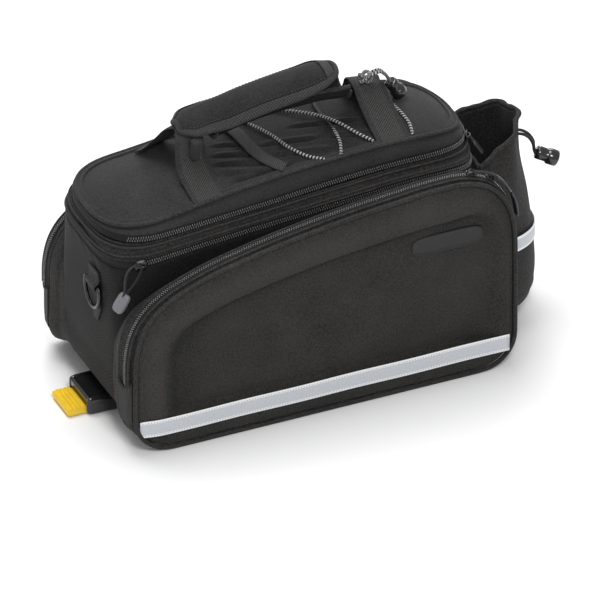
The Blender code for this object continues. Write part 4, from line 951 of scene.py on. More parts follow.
@dataclass(frozen=True)
class BagForm:
    """The bag's driving lines in millimetres: X to the rear, Y to the far side, Z up."""

    shell_length: float = 360.0
    shell_height: float = 203.0
    shell_y: float = 100.0
    recess: float = 6.4
    gusset_y: float = 95.5
    zip_y: float = 88.0
    body_half: float = 66.0
    front: float = -190.0
    rear: float = 168.0
    bottom: float = 20.0
    zip_half: float = 3.5
    fit: float = 0.3
    lid_half: float = 55.0
    lid_front: float = -187.0
    lid_rear: float = 163.0
    crown: float = 9.0
    lid_taper: float = 0.14
    far_lean: float = 0.6
    far_sag: float = 0.085
    lid_square: float = 2.6
    body_taper: float = 0.06
    front_end: float = 50.0
    rear_end: float = 60.0
    pocket_half: float = 56.0
    pocket_depth: float = 72.0
    pocket_bottom: float = 22.0
    pocket_rim: float = 198.0
    pocket_dip: float = 24.0
    wrap_front: float = -99.5
    wrap_length: float = 148.0
    wrap_crest: float = 292.8
    wrap_fall: float = 22.0
    around: int = 260
    edges: Table = Table(("along", "lid", "lid_zip", "body_zip"), (
        (0.00, 1.015, 0.980, 0.867), (0.08, 1.028, 0.982, 0.877), (0.20, 1.050, 0.988, 0.894),
        (0.32, 1.078, 0.999, 0.909), (0.44, 1.098, 1.012, 0.921), (0.56, 1.112, 1.027, 0.933),
        (0.68, 1.122, 1.038, 0.944), (0.78, 1.125, 1.041, 0.955), (0.86, 1.116, 1.037, 0.957),
        (0.93, 1.090, 1.026, 0.948), (1.00, 1.035, 1.004, 0.922)))
    sections: Table = Table(("up", "front_in", "rear_in", "side_in", "square"), (
        (0.00, 16.0, 8.0, 8.0, 7.0), (0.05, 10.0, 2.0, 2.0, 9.0), (0.28, 6.0, 0.0, 0.0, 9.0),
        (0.58, 4.5, 0.0, 0.0, 8.0), (0.80, 3.5, 0.0, 0.0, 6.0), (1.00, 0.0, 0.0, 0.0, 3.6)))
    gusset: Table = Table(("across", "front", "top", "rear", "bottom"), (
        (0.00, 7.0, -10.0, -4.0, -20.0), (0.30, 9.0, -1.0, 2.0, -11.0), (0.65, 7.0, 4.0, 4.0, -3.0),
        (0.90, 5.0, 4.5, 3.0, 0.0), (1.00, 2.5, 3.0, 2.0, 0.0)))
    pocket: Table = Table(("up", "depth", "half"), (
        (0.00, 0.95, 0.97), (0.06, 0.98, 1.00), (0.30, 0.985, 1.00), (0.58, 0.90, 0.96),
        (0.82, 0.79, 0.88), (0.94, 0.765, 0.83), (1.00, 0.765, 0.80)))
    shell_top: Table = Table(("along", "up"), (
        (0.000, 0.46), (0.004, 0.515), (0.013, 0.585), (0.035, 0.662), (0.083, 0.740),
        (0.161, 0.804), (0.322, 0.880), (0.480, 0.930), (0.694, 0.974), (0.800, 0.988),
        (0.880, 0.980), (0.936, 0.935), (0.980, 0.825), (0.997, 0.700), (1.000, 0.560)))

    def edge(self, x: Array | float, name: str) -> Array:
        """Height of a named edge line at x along the body."""
        share = (np.asarray(x, float) - self.front) / (self.rear - self.front)
        return self.edges.at(name, share) * self.shell_height

    def plan(self, front: float, rear: float, half: float, square: float,
             taper: float = 0.0) -> Array:
        """Plan loop: straight sides and two superellipse ends, from the rear along the near side.

        Args:
            front: Foremost x.
            rear: Rearmost x.
            half: Half width.
            square: Exponent of the ends, 2 for an ellipse.
            taper: Share by which the rear end is narrower.

        Returns:
            Points x, y at even steps.
        """
        turn = np.linspace(0, math.pi / 2, 160)
        sine, cosine = np.sin(turn) ** (2 / square), np.cos(turn) ** (2 / square)
        near = np.vstack([np.c_[rear - self.rear_end + self.rear_end * cosine, -half * sine],
                          np.c_[front + self.front_end - self.front_end * sine, -half * cosine]])
        ring = np.vstack([near, near[::-1][1:-1] * [1, -1]])
        middle = (front + rear) / 2
        back = np.clip((ring[:, 0] - middle) / (rear - middle), 0, 1)
        ring[:, 1] *= 1 - taper * back * (1 + self.far_lean * (ring[:, 1] > 0))
        return even(ring, self.around, closed=True)

    def body_ring(self, up: float) -> Array:
        """Outer ring of the body at a share of its height, up to the body zip."""
        front_in, rear_in, side_in, square = (
            float(self.sections.at(name, up)) for name in self.sections.names[1:])
        ring = self.plan(self.front + front_in, self.rear - rear_in, self.body_half - side_in, square,
                         self.body_taper * max(0.0, up - 0.8) / 0.2)
        top = self.edge(ring[:, 0], "body_zip") - self.zip_half - self.fit
        return np.c_[ring, self.bottom + (top - self.bottom) * up]

    def wall_plan(self, share: float) -> Array:
        """Plan of the wall between the body zip (share 0) and the lid zip (share 1)."""
        half = self.body_half - 5.0 * share
        square = 3.6 * (1 - share) + self.lid_square * share
        taper = self.body_taper + (self.lid_taper - self.body_taper) * share
        return self.plan(self.front + share, self.rear, half, square, taper)

    def wall_ring(self, share: float, line: str, lift: float = 0.0) -> Array:
        """Plan ring of the wall, stood on a named edge line and lifted."""
        plan = self.wall_plan(share)
        return np.c_[plan, self.edge(plan[:, 0], line) + lift]

    def lid_width(self, x: Array | float, y: Array | float = 0.0) -> Array:
        """Half width of the lid at x on its straight sides, for the side that y is on."""
        middle = (self.lid_front + self.lid_rear) / 2
        back = np.clip((np.asarray(x, float) - middle) / (self.lid_rear - middle), 0, 1)
        return self.lid_half * (1 - self.lid_taper * back * (1 + self.far_lean * (np.asarray(y) > 0)))

    def lid_share(self, x: Array, y: Array) -> Array:
        """Share of the way from the lid's middle line to its edge."""
        ahead = np.clip((self.lid_front + self.front_end - x) / self.front_end, 0, None)
        behind = np.clip((x - self.lid_rear + self.rear_end) / self.rear_end, 0, None)
        p = self.lid_square
        return (np.maximum(ahead, behind) ** p + np.abs(y / self.lid_width(x, y)) ** p) ** (1 / p)

    def lid_top(self, x: Array | float, y: Array | float) -> Array:
        """Top of the lid at a place in plan: its edge line plus a low crown."""
        share = np.clip(self.lid_share(np.asarray(x, float), np.asarray(y, float)), 0, 1)
        return self.edge(x, "lid") + self.crown * (1 - share ** 2.5)

    def lid_ring(self, share: float) -> Array:
        """Ring of the lid at a share of the way out, following its crown."""
        rim = self.plan(self.lid_front, self.lid_rear, self.lid_half, self.lid_square, self.lid_taper)
        spine = np.c_[np.clip(rim[:, 0], self.lid_front + self.front_end,
                              self.lid_rear - self.rear_end), np.zeros(len(rim))]
        ring = spine + (rim - spine) * share
        return np.c_[ring, self.lid_top(ring[:, 0], ring[:, 1])]

    def shell_loop(self) -> Array:
        """Side outline of the shell as x, z, starting at the bottom middle."""
        front, rear, lift = -self.shell_length / 2, self.shell_length / 2, 4.4
        turn = np.linspace(0, math.pi / 2, 24)
        front_corner = np.c_[front + 34 * (1 - np.sin(turn)), 34 * (1 - np.cos(turn))]
        rear_corner = np.c_[rear - 30 * (1 - np.cos(turn)), 30 * (1 - np.sin(turn))]
        rows = np.array(self.shell_top.rows) * [self.shell_length, self.shell_height]
        length = travel(rows)
        top = smooth(length, rows, np.linspace(0, length[-1], 200)) + [front, 0]
        loop = np.vstack([[[0, 0]], front_corner, top, rear_corner])
        loop[:, 1] = lift + loop[:, 1] * (self.shell_height - lift) / self.shell_height
        return even(loop, self.around, closed=True)

    def shell_offset(self, front: float, top: float, rear: float, bottom: float) -> Array:
        """Shell outline moved outwards by an amount that depends on where each point faces."""
        loop = self.shell_loop()
        way = np.roll(loop, -1, axis=0) - np.roll(loop, 1, axis=0)
        normal = np.c_[-way[:, 1], way[:, 0]] / np.linalg.norm(way, axis=1)[:, None]
        amount = (front * np.clip(-normal[:, 0], 0, 1) ** 2 + rear * np.clip(normal[:, 0], 0, 1) ** 2
                  + top * np.clip(normal[:, 1], 0, 1) ** 2
                  + bottom * np.clip(-normal[:, 1], 0, 1) ** 2)
        return relax(loop + normal * amount[:, None], 3)

    def _upright(self, loop: Array, y: float, sag: float) -> Array:
        """Outline x, z stood up in the plane at y, lowered by a share of its height."""
        return np.c_[loop[:, 0], np.full(len(loop), y), loop[:, 1] * (1 - sag)]

    def shell_ring(self, y: float, inward: float) -> Array:
        """Shell outline drawn in by an amount, in the upright plane at y."""
        loop = self.shell_offset(-inward, -inward, -inward, -inward)
        return self._upright(loop, y, self.far_sag * (y > 0))

    def panel_ring(self, y: float, share: float) -> Array:
        """Edge of the shell's recessed panel, shrunk to a share round its middle."""
        loop = self.shell_offset(-25.0, -31.0, -8.0, -27.0)
        loop = even(relax(loop, 14), self.around, closed=True)
        middle = np.array([0.0, self.shell_height / 2])
        loop = middle + (loop - middle) * share
        return self._upright(loop, y, self.far_sag * (y > 0))

    def gusset_ring(self, side: Side, share: float, outward: float = 0.0) -> Array:
        """Gusset's edge line at a share of the way from the body to the shell."""
        start = self.body_half + self.fit
        y = start + (self.gusset_y - start) * share
        loop = self.shell_offset(*(float(self.gusset.at(name, share)) + outward
                                   for name in self.gusset.names[1:]))
        return self._upright(loop, side.value * y, self.far_sag * share * (side is Side.FAR))

    def zip_share(self) -> float:
        """Share of the gusset's width at which the side zip lies."""
        start = self.body_half + self.fit
        return (self.zip_y - start) / (self.gusset_y - start)

    def pocket_ring(self, share: float) -> Array:
        """Ring of the pocket at a share of its height: a half oval with a straight back."""
        depth = float(self.pocket.at("depth", share)) * self.pocket_depth
        half = float(self.pocket.at("half", share)) * self.pocket_half
        turn = np.linspace(-math.pi / 2, math.pi / 2, 160)
        bow = np.c_[depth * np.cos(turn) ** 0.9, half * np.sin(turn)]
        back = np.c_[np.zeros(40), np.linspace(half, -half, 42)[1:-1]]
        plan = even(np.roll(np.vstack([bow, back]), -80, axis=0), 168, closed=True)
        plan[:, 1] *= 1 - 0.15 * float(rise(share, 0.3, 1.0)) * (plan[:, 1] > 0)
        rim = self.pocket_rim - self.pocket_dip * (1 - np.clip(plan[:, 0] / depth, 0, 1)) ** 1.4
        rim = rim - 6.0 * np.clip(plan[:, 1] / half, 0, 1)
        z = self.pocket_bottom + (rim - self.pocket_bottom) * share
        return np.c_[plan[:, 0] + self.rear + self.fit, plan[:, 1], z]

    def pocket_point(self, angle: float, z: float, out: float) -> list[float]:
        """Place just outside the pocket's wall, at an angle from straight back."""
        share = (z - self.pocket_bottom) / (self.pocket_rim - self.pocket_bottom)
        depth = float(self.pocket.at("depth", share)) * self.pocket_depth + out
        half = float(self.pocket.at("half", share)) * self.pocket_half + out
        return [self.rear + self.fit + depth * math.cos(angle) ** 0.9, half * math.sin(angle), z]

    def wrap_top(self, x: Array | float) -> Array:
        """Height of the handle wrap's crest at x."""
        along = (np.asarray(x, float) - self.wrap_front) / self.wrap_length
        return self.wrap_crest - self.wrap_fall * WRAP.at("fall", along)


WRAP = Table(("along", "fall", "half", "drop"), (
    (0.00, 1.00, 0.80, 0.30), (0.07, 0.80, 1.00, 0.50), (0.16, 0.59, 1.00, 0.75),
    (0.29, 0.41, 1.00, 1.00), (0.41, 0.24, 1.00, 1.00), (0.60, 0.06, 1.00, 0.95),
    (0.79, 0.00, 1.00, 0.75), (0.93, 0.00, 0.88, 0.40), (1.00, 0.06, 0.62, 0.22)))
FORM = BagForm()


def pull_in(ring: Array, amount: float) -> Array:
    """Plan ring drawn in towards its middle line, at the same heights."""
    ahead = np.roll(ring[:, :2], -1, axis=0) - np.roll(ring[:, :2], 1, axis=0)
    inward = unit(np.c_[ahead[:, 1], -ahead[:, 0]])
    return np.c_[ring[:, :2] + inward * amount, ring[:, 2]]


def outward_of(ring: Array) -> Array:
    """Level unit normals of a plan ring, facing outwards."""
    return ring * [1, 1, 0] - pull_in(ring, 1.0) * [1, 1, 0]


@dataclass
class Ribbon:
    """Flat webbing along a path, with the mark across from edge to edge."""

    name: str
    path: Array
    across: Array
    width: Array | float
    thick: float
    finish: str
    bow: float = 0.0

    def build(self, *nodes: str) -> bpy.types.Object:
        """Carry a rounded flat profile, as wide as asked at each point."""
        ahead = directions(self.path, False)
        up = np.cross(np.broadcast_to(self.across, self.path.shape), ahead)
        edge_to_edge = band(1.0, 0.0, 12)[:, 0] * 2
        shape = band(10.0, self.thick, 12)
        width = np.broadcast_to(self.width, (len(self.path),))
        profile = np.stack([np.c_[shape[:, 0] * w / 10.0,
                                  shape[:, 1] - self.bow * edge_to_edge ** 2] for w in width])
        grid = carry(profile, self.path, up)
        return Skin(self.name, grid, self.finish, cap=Cap.BOTH,
                    marks={"across": edge_to_edge}).build(*nodes)


@dataclass
class Turned:
    """Round part turned about an axis: radii at shares of its length."""

    name: str
    middle: Triple
    axis: Triple
    length: float
    radii: tuple[tuple[float, float], ...]
    finish: str

    def build(self, *nodes: str) -> bpy.types.Object:
        """Stack circles along the axis."""
        axis = np.array(self.axis) / np.linalg.norm(self.axis)
        rows = np.array(self.radii)
        path = np.array(self.middle) + axis * (rows[:, :1] * self.length)
        up = np.cross(axis, [0.31, 0.9, 0.1])
        turn = turns(32)
        side = np.cross(axis, up)
        side, up = side / np.linalg.norm(side), up / np.linalg.norm(up)
        ring = np.outer(np.cos(turn), side) + np.outer(np.sin(turn), up)
        grid = path[:, None] + ring[None] * rows[:, 1:2][:, None]
        return Skin(self.name, grid, self.finish, cap=Cap.BOTH).build(*nodes)


@dataclass
class Body:
    """Soft tub of the bag below the body zip."""

    rows: int = 40

    def build(self) -> None:
        """Tub with a soft floor, dented panels and puckers under the zip's seam."""
        rings = []
        floor = FORM.body_ring(0.0)
        for share in (0.06, 0.4, 0.75, 0.92):
            core = np.clip(floor[:, 0], -130, 110)
            rings.append(np.c_[core + (floor[:, 0] - core) * share, floor[:, 1] * share,
                               np.full(len(floor), FORM.bottom + 0.2)])
        for up in np.linspace(0, 1, self.rows):
            ring = FORM.body_ring(float(up))
            dent = 1.3 * crumple(ring, 11, 60.0) * math.sin(math.pi * min(1.0, up * 1.02)) ** 0.5
            walk = travel(ring, True)[:-1]
            pucker = 0.35 * np.sin(walk / 3.7 + 1.5 * np.sin(walk / 23)) * bump(up, 0.97, 0.05)
            seam = -1.1 * bump(up, 0.985, 0.008) - 0.9 * bump(up, 0.075, 0.012)
            ring = ring + outward_of(ring) * (dent + pucker + seam)[:, None]
            rings.append(ring)
        # The tub takes the darker copy of the black cloth, as painted shade.
        Skin("body_tub", np.stack(rings), "dark", cap=Cap.STRIP, wall=2.2,
             away_from=(-10, 0, 100)).build("main_body")


@dataclass
class Walls:
    """The zipped wall between the body and the lid: two zips and the cloth collar."""

    pitch: float = 2.2
    tooth: Triple = (1.2, 3.1, 1.8)
    body_front: float = -163.0
    lid_front: float = -172.0

    def _zip(self, name: str, node: str, share: float, line: str, front: float) -> None:
        """Tape with sewn edges and a double row of teeth, on one plan ring.

        Args:
            name: Name of the tape's piece.
            node: CAD node that the tape stands for.
            share: 0 for the ring at the body zip, 1 for the one at the lid zip.
            line: Column of the edge table that the zip follows.
            front: The teeth stop where x is below this.
        """
        ring = FORM.wall_ring(share, line)
        half = FORM.zip_half
        edge = [(-1.6, -half), (-0.2, -half), (0.25, -half + 0.6), (0.0, -half + 1.3), (0.0, 0.0),
                (0.0, half - 1.3), (0.25, half - 0.6), (-0.2, half), (-1.6, half)]
        grid = np.stack([pull_in(ring, -out) + [0, 0, up] for out, up in edge])
        across = np.linspace(-1, 1, len(edge))[:, None]
        Skin(name, grid, "tape", loop_rows=True,
             marks={"across": across}).build(node)
        out = outward_of(ring)
        hidden = np.flatnonzero(ring[:, 0] < front)
        run = np.r_[hidden[-1] + 1:len(ring), 0:hidden[0]]
        Row(name + "_teeth", (ring + out * 0.7)[run], out[run], self.pitch, self.tooth, "teeth",
            lanes=((1.3, 0.0, 0.0), (-1.3, 0.0, 0.5))).build()

    def _collar(self) -> None:
        """Cloth band between the zips, with folded edges over both and soft ribs."""
        clear = FORM.zip_half + FORM.fit
        rings = []
        for share in np.linspace(0, 1, 26):
            plan = FORM.wall_plan(float(share))
            low = FORM.edge(plan[:, 0], "body_zip") + clear
            high = FORM.edge(plan[:, 0], "lid_zip") - clear
            ring = np.c_[plan, low + (high - low) * share]
            walk = travel(ring, True)[:-1]
            fold = 1.2 * (bump(share, 0.05, 0.05) + bump(share, 0.93, 0.05)) - 0.8 * (
                bump(share, 0.16, 0.03) + bump(share, 0.82, 0.03)) + 0.5 * bump(share, 0.5, 0.12)
            ripple = 0.35 * np.sin(walk / 4.6 + 2 * np.sin(walk / 31)) * bump(share, 0.5, 0.4)
            rings.append(ring + outward_of(ring) * (fold + ripple
                                                    + 0.8 * crumple(ring, 5, 46.0))[:, None])
        Skin("collar_cloth", np.stack(rings), "cloth", wall=2.0,
             away_from=(-10, 0, 200)).build("collar")
        for label, share in (("low", 0.34), ("high", 0.68)):
            plan = FORM.wall_plan(share)
            low, high = FORM.edge(plan[:, 0], "body_zip"), FORM.edge(plan[:, 0], "lid_zip")
            ring = np.c_[plan, low + (high - low) * share]
            Cord(f"collar_welt_{label}", ring + outward_of(ring) * 1.0, 1.15, "piping", up=(0, 0, 1),
                 closed=True).build()
        for label, share, line, lift in (("low", 0.14, "body_zip", clear + 2.2),
                                         ("high", 0.86, "lid_zip", -clear - 1.6)):
            ring = FORM.wall_ring(share, line, lift)
            Row(f"collar_stitch_{label}", ring + outward_of(ring) * 0.9, outward_of(ring), 3.0,
                (1.9, 0.5, 0.4), "thread", closed=True).build()

    def build(self) -> None:
        """Make both zips and the collar."""
        self._zip("body_zip_tape", "body_zip", 0.0, "body_zip", self.body_front)
        self._zip("lid_zip_tape", "lid_zip", 1.0, "lid_zip", self.lid_front)
        self._collar()


@dataclass
class Lid:
    """Soft top with a low crown, a short skirt, piping round its edge and sewn lines."""

    pleats: tuple[tuple[float, float, float, float], ...] = (
        (-66, -6, -30, -22), (-70, -18, -26, -36), (-72, -30, -34, -44), (-64, -43, -8, -44),
        (-60, 8, -34, -4), (-22, -12, 22, -22), (-14, -30, 30, -40), (12, 2, 66, -14),
        (40, -26, 70, -34))

    def _height(self, x: Array, y: Array) -> Array:
        """Folds of the lid: soft hollows and pleats between the straps."""
        place = np.stack([x, y, np.zeros_like(x)], -1)
        lift = 1.0 * crumple(place, 3, 52.0)
        for ax, ay, bx, by in self.pleats:
            run, rise_y = bx - ax, by - ay
            size = math.hypot(run, rise_y)
            along = ((x - ax) * run + (y - ay) * rise_y) / size
            across = ((y - ay) * run - (x - ax) * rise_y) / size
            inside = rise(along, -8, 8) * (1 - rise(along, size - 8, size + 8))
            lift += inside * (1.5 * bump(across, 2.8, 2.4) - 2.2 * bump(across, -1.0, 1.3))
        return lift

    def build(self) -> None:
        """Lid from its middle line to the zip, and the piping."""
        rings = []
        shares = list(np.linspace(0.03, 0.80, 34)) + list(np.linspace(0.815, 0.990, 26))
        for share in shares:
            ring = FORM.lid_ring(float(share))
            fade = 1 - rise(share, 0.86, 0.98)
            seam = 2.3 * (rise(share, 0.888, 0.902) - rise(share, 0.972, 0.985))
            ring[:, 2] += self._height(ring[:, 0], ring[:, 1]) * fade + seam
            rings.append(ring)
        rim = FORM.lid_ring(1.0)
        skirt = FORM.wall_plan(1.0)
        low = np.c_[skirt, FORM.edge(skirt[:, 0], "lid_zip") + FORM.zip_half + FORM.fit]
        for share in np.linspace(0.0, 1.0, 12):
            ring = rim + (low - rim) * share
            ring[:, :2] = rim[:, :2] + (low - rim)[:, :2] * math.sin(share * math.pi / 2) ** 0.8
            ring[:, 2] = rim[:, 2] - 0.8 + (low[:, 2] - rim[:, 2] + 0.8) * share
            walk = travel(ring, True)[:-1]
            ring = ring + outward_of(ring) * (0.3 * np.sin(walk / 3.3 + np.sin(walk / 19))
                                              * math.sin(math.pi * share))[:, None]
            rings.append(ring)
        grid = np.stack(rings)
        x, y = grid[..., 0], grid[..., 1]
        # Painted shade: the lid's cloth is darkened over the recessed panel between the straps, under
        # the handle wrap.
        panel = rise(x + 0.25 * y, -78, -70) * (1 - rise(x, 92, 104)) * rise(y, -46, -42)
        Skin("lid_top", grid, "lid", cap=Cap.STRIP, wall=2.0,
             away_from=(-10, 0, 120), marks={"worn": -0.42 * panel}).build("lid")
        bead = FORM.lid_ring(1.0)
        bead[:, 2] += 1.6
        Cord("lid_piping_cord", bead, 2.1, "piping", up=(0, 0, 1), closed=True).build("lid_piping")
        for label, share in (("inner", 0.913), ("outer", 0.962)):
            line = FORM.lid_ring(share)
            line[:, 2] += 2.35
            Row(f"lid_stitch_{label}", line, UP, 3.1, (2.0, 0.5, 0.4), "thread",
                closed=True).build()


@dataclass
class SidePocket:
    """One side compartment: padded gusset, zip, piping, moulded shell and strip."""

    side: Side
    zip_end: float = 0.35
    zip_width: float = 9.0
    strip_ends: tuple[float, float] = (-178.5, 175.5)
    strip_z: float = 27.0
    strip_width: float = 17.0
    seam_inset: float = 6.6

    def _loop_normals(self, ring: Array) -> Array:
        """Outward normals of an upright ring, in its own plane."""
        way = np.roll(ring, -1, axis=0) - np.roll(ring, 1, axis=0)
        return unit(np.c_[-way[:, 2], np.zeros(len(ring)), way[:, 0]])

    def _gusset(self) -> None:
        """Padded wall with an inner seam, puckers along the zip and soft dents."""
        rings = []
        for reach in np.linspace(0, 1, 6)[:-1]:
            loop = FORM.shell_offset(*(low + (high - low) * reach for low, high in
                                       ((3.0, 7.0), (-16.0, -10.0), (-13.0, -4.0), (-28.0, -20.0))))
            loop[:, 0] += 1.6 * bump(reach, 0.72, 0.14) * (loop[:, 0] < -150)
            y = 50.0 + (FORM.body_half + FORM.fit - 50.0) * reach
            rings.append(np.c_[loop[:, 0], np.full(len(loop), self.side.value * y), loop[:, 1]])
        for share in np.linspace(0, 1, 34):
            ring = FORM.gusset_ring(self.side, float(share))
            walk = travel(ring, True)[:-1]
            pucker = 0.45 * np.sin(walk / 4.1 + 1.7 * np.sin(walk / 27)) * bump(share, 0.5, 0.2)
            dent = 0.9 * crumple(ring, 21 + self.side.value, 48.0) * math.sin(math.pi * share) ** 0.7
            seam = -1.3 * bump(share, 0.36, 0.025) + 0.7 * bump(share, 0.44, 0.04)
            rings.append(ring + self._loop_normals(ring) * (pucker + dent + seam)[:, None])
        Skin(f"gusset_cloth_{self.side.label}", np.stack(rings), "cloth", wall=1.8,
             away_from=(0, 0, 100)).build(f"gusset_{self.side.label}")
        bead = FORM.shell_ring(self.side.value * (FORM.gusset_y + 2.3), -2.3)
        Cord(f"shell_piping_cord_{self.side.label}", bead, 2.1, "piping", up=(0, 1, 0),
             closed=True).build(f"shell_piping_{self.side.label}")

    def _zip(self) -> None:
        """Tape and teeth over the top of the gusset, from the front garage to the rear."""
        ring = FORM.gusset_ring(self.side, FORM.zip_share(), 0.4)
        keep = np.flatnonzero(ring[:, 2] > self.zip_end * FORM.shell_height)
        path = ring[keep[0]:keep[-1] + 1]
        normals = self._loop_normals(ring)[keep[0]:keep[-1] + 1]
        Ribbon(f"side_zip_tape_{self.side.label}", path + normals * 0.5, ACROSS, self.zip_width,
               1.0, "tape").build(f"side_zip_{self.side.label}")
        Row(f"side_zip_teeth_{self.side.label}", path + normals * 1.5, normals, 2.2, (1.2, 2.9, 1.8),
            "teeth", lanes=((1.0, 0.0, 0.0), (-1.0, 0.0, 0.5))).build()
        for number, shift in ((1, -5.6), (2, 5.4)):
            edge = path + normals * 0.35 + [0, shift, 0]
            Cord(f"side_zip_fold_{number}_{self.side.label}", edge, 1.1, "piping",
                 up=(0, 1, 0.01)).build()

    def _garage(self) -> None:
        """Curved panel of cross twill over the zip's front end."""
        low, high = 0.16 * FORM.shell_height, (self.zip_end + 0.02) * FORM.shell_height
        rings = []
        for share in np.linspace(0.40, 0.97, 14):
            ring = FORM.gusset_ring(self.side, float(share))
            front = ring[(ring[:, 0] < -100) & (ring[:, 2] > 8)]
            front = front[np.argsort(front[:, 2])]
            sag = 7.0 * ((share - 0.68) / 0.3) ** 2
            z = np.linspace(low, high - 6 + sag, 30)
            x = np.interp(z, front[:, 2], front[:, 0])
            puff = 1.1 + 0.5 * bump(share, 0.68, 0.2)
            rings.append(np.c_[x - puff, np.full(30, ring[0, 1]), z])
        grid = np.stack(rings)
        Skin(f"zip_garage_{self.side.label}", grid, "webbing", loop_columns=False, wall=0.9,
             away_from=(0, 0, 60),
             marks={"across": np.linspace(-0.8, 0.8, 14)[:, None]}).build()
        Cord(f"zip_garage_edge_{self.side.label}", grid[:, -1] + [-0.3, 0, 0], 1.2, "piping").build()

    def _shell(self) -> None:
        """Moulded shell: round rim, flat border, and a soft step down to the wide panel; painted
        highlight on the border and painted shade on the step.
        """
        y, s = FORM.shell_y, self.side.value
        rim = [(0.0, -4.2), (0.0, -3.5), (0.5, -2.8), (1.5, -2.3), (3.0, -2.0)]
        rings = [FORM.shell_ring(s * (y + up), inward) for inward, up in rim]
        inner, border = rings[-1], FORM.panel_ring(s * y, 1.0)
        for share in np.linspace(0.1, 1.0, 10):
            ring = inner + (border - inner) * share
            fall = 2.0 * (1 - math.sin(math.pi / 2 * share))
            ring[:, 1] = s * (y - fall + 0.5 * bump(share, 0.8, 0.2))
            rings.append(ring)
        for step in np.linspace(0.08, 1.0, 13):
            drop = float(rise(step, 0, 1)) * FORM.recess
            rings.append(FORM.panel_ring(s * (y - drop), 1.0 - 0.105 * step))
        for share in np.linspace(0.87, 0.02, 22):
            rings.append(FORM.panel_ring(s * (y - FORM.recess), float(share)))
        grid = np.stack(rings)
        grid[5:, :, 1] += s * 0.55 * crumple(grid[5:], 31 + s, 75.0)
        # Painted light: a lighter band on the border is painted highlight, and a darker band on the step
        # down into the recess is painted shade. Both are strongest where the outline faces up and
        # forwards, towards the lamps.
        reach = np.linspace(1, 0, len(rings))[:, None]
        facing = self._loop_normals(FORM.panel_ring(0.0, 1.0))
        above = np.clip(0.35 + 0.6 * facing[:, 2] - 0.5 * facing[:, 0], 0.08, 1.0)[None, :]
        worn = 0.55 * bump(reach, 0.20, 0.09) * above - 0.80 * bump(reach, 0.46, 0.13) * above
        Skin(f"shell_moulding_{self.side.label}", grid[::-1], "moulded",
             cap=Cap.FIRST, wall=2.0, away_from=(0, 0, 100),
             marks={"worn": worn}).build(f"shell_{self.side.label}")

    def _strip(self) -> None:
        """Reflective strip with bright bound edges and a row of stitches inside each."""
        along = np.linspace(*self.strip_ends, 90)
        y = self.side.value * (FORM.shell_y + 0.9 - 2.4 * rise(-along, 152, 177) ** 2)
        path = np.c_[along, y, self.strip_z + 0.25 * np.sin(along / 17)]
        Ribbon(f"strip_tape_{self.side.label}", path, UP, self.strip_width, 0.8,
               "shine").build(f"strip_{self.side.label}")
        up = ACROSS * self.side.value
        for number, shift in ((1, -self.seam_inset), (2, self.seam_inset)):
            Row(f"strip_stitch_{number}_{self.side.label}",
                path + [0, self.side.value * 0.45, shift], up, 2.6, (1.5, 0.45, 0.3),
                "thread").build()

    def build(self) -> None:
        """Make every piece of the compartment."""
        self._gusset()
        self._zip()
        self._garage()
        self._shell()
        self._strip()


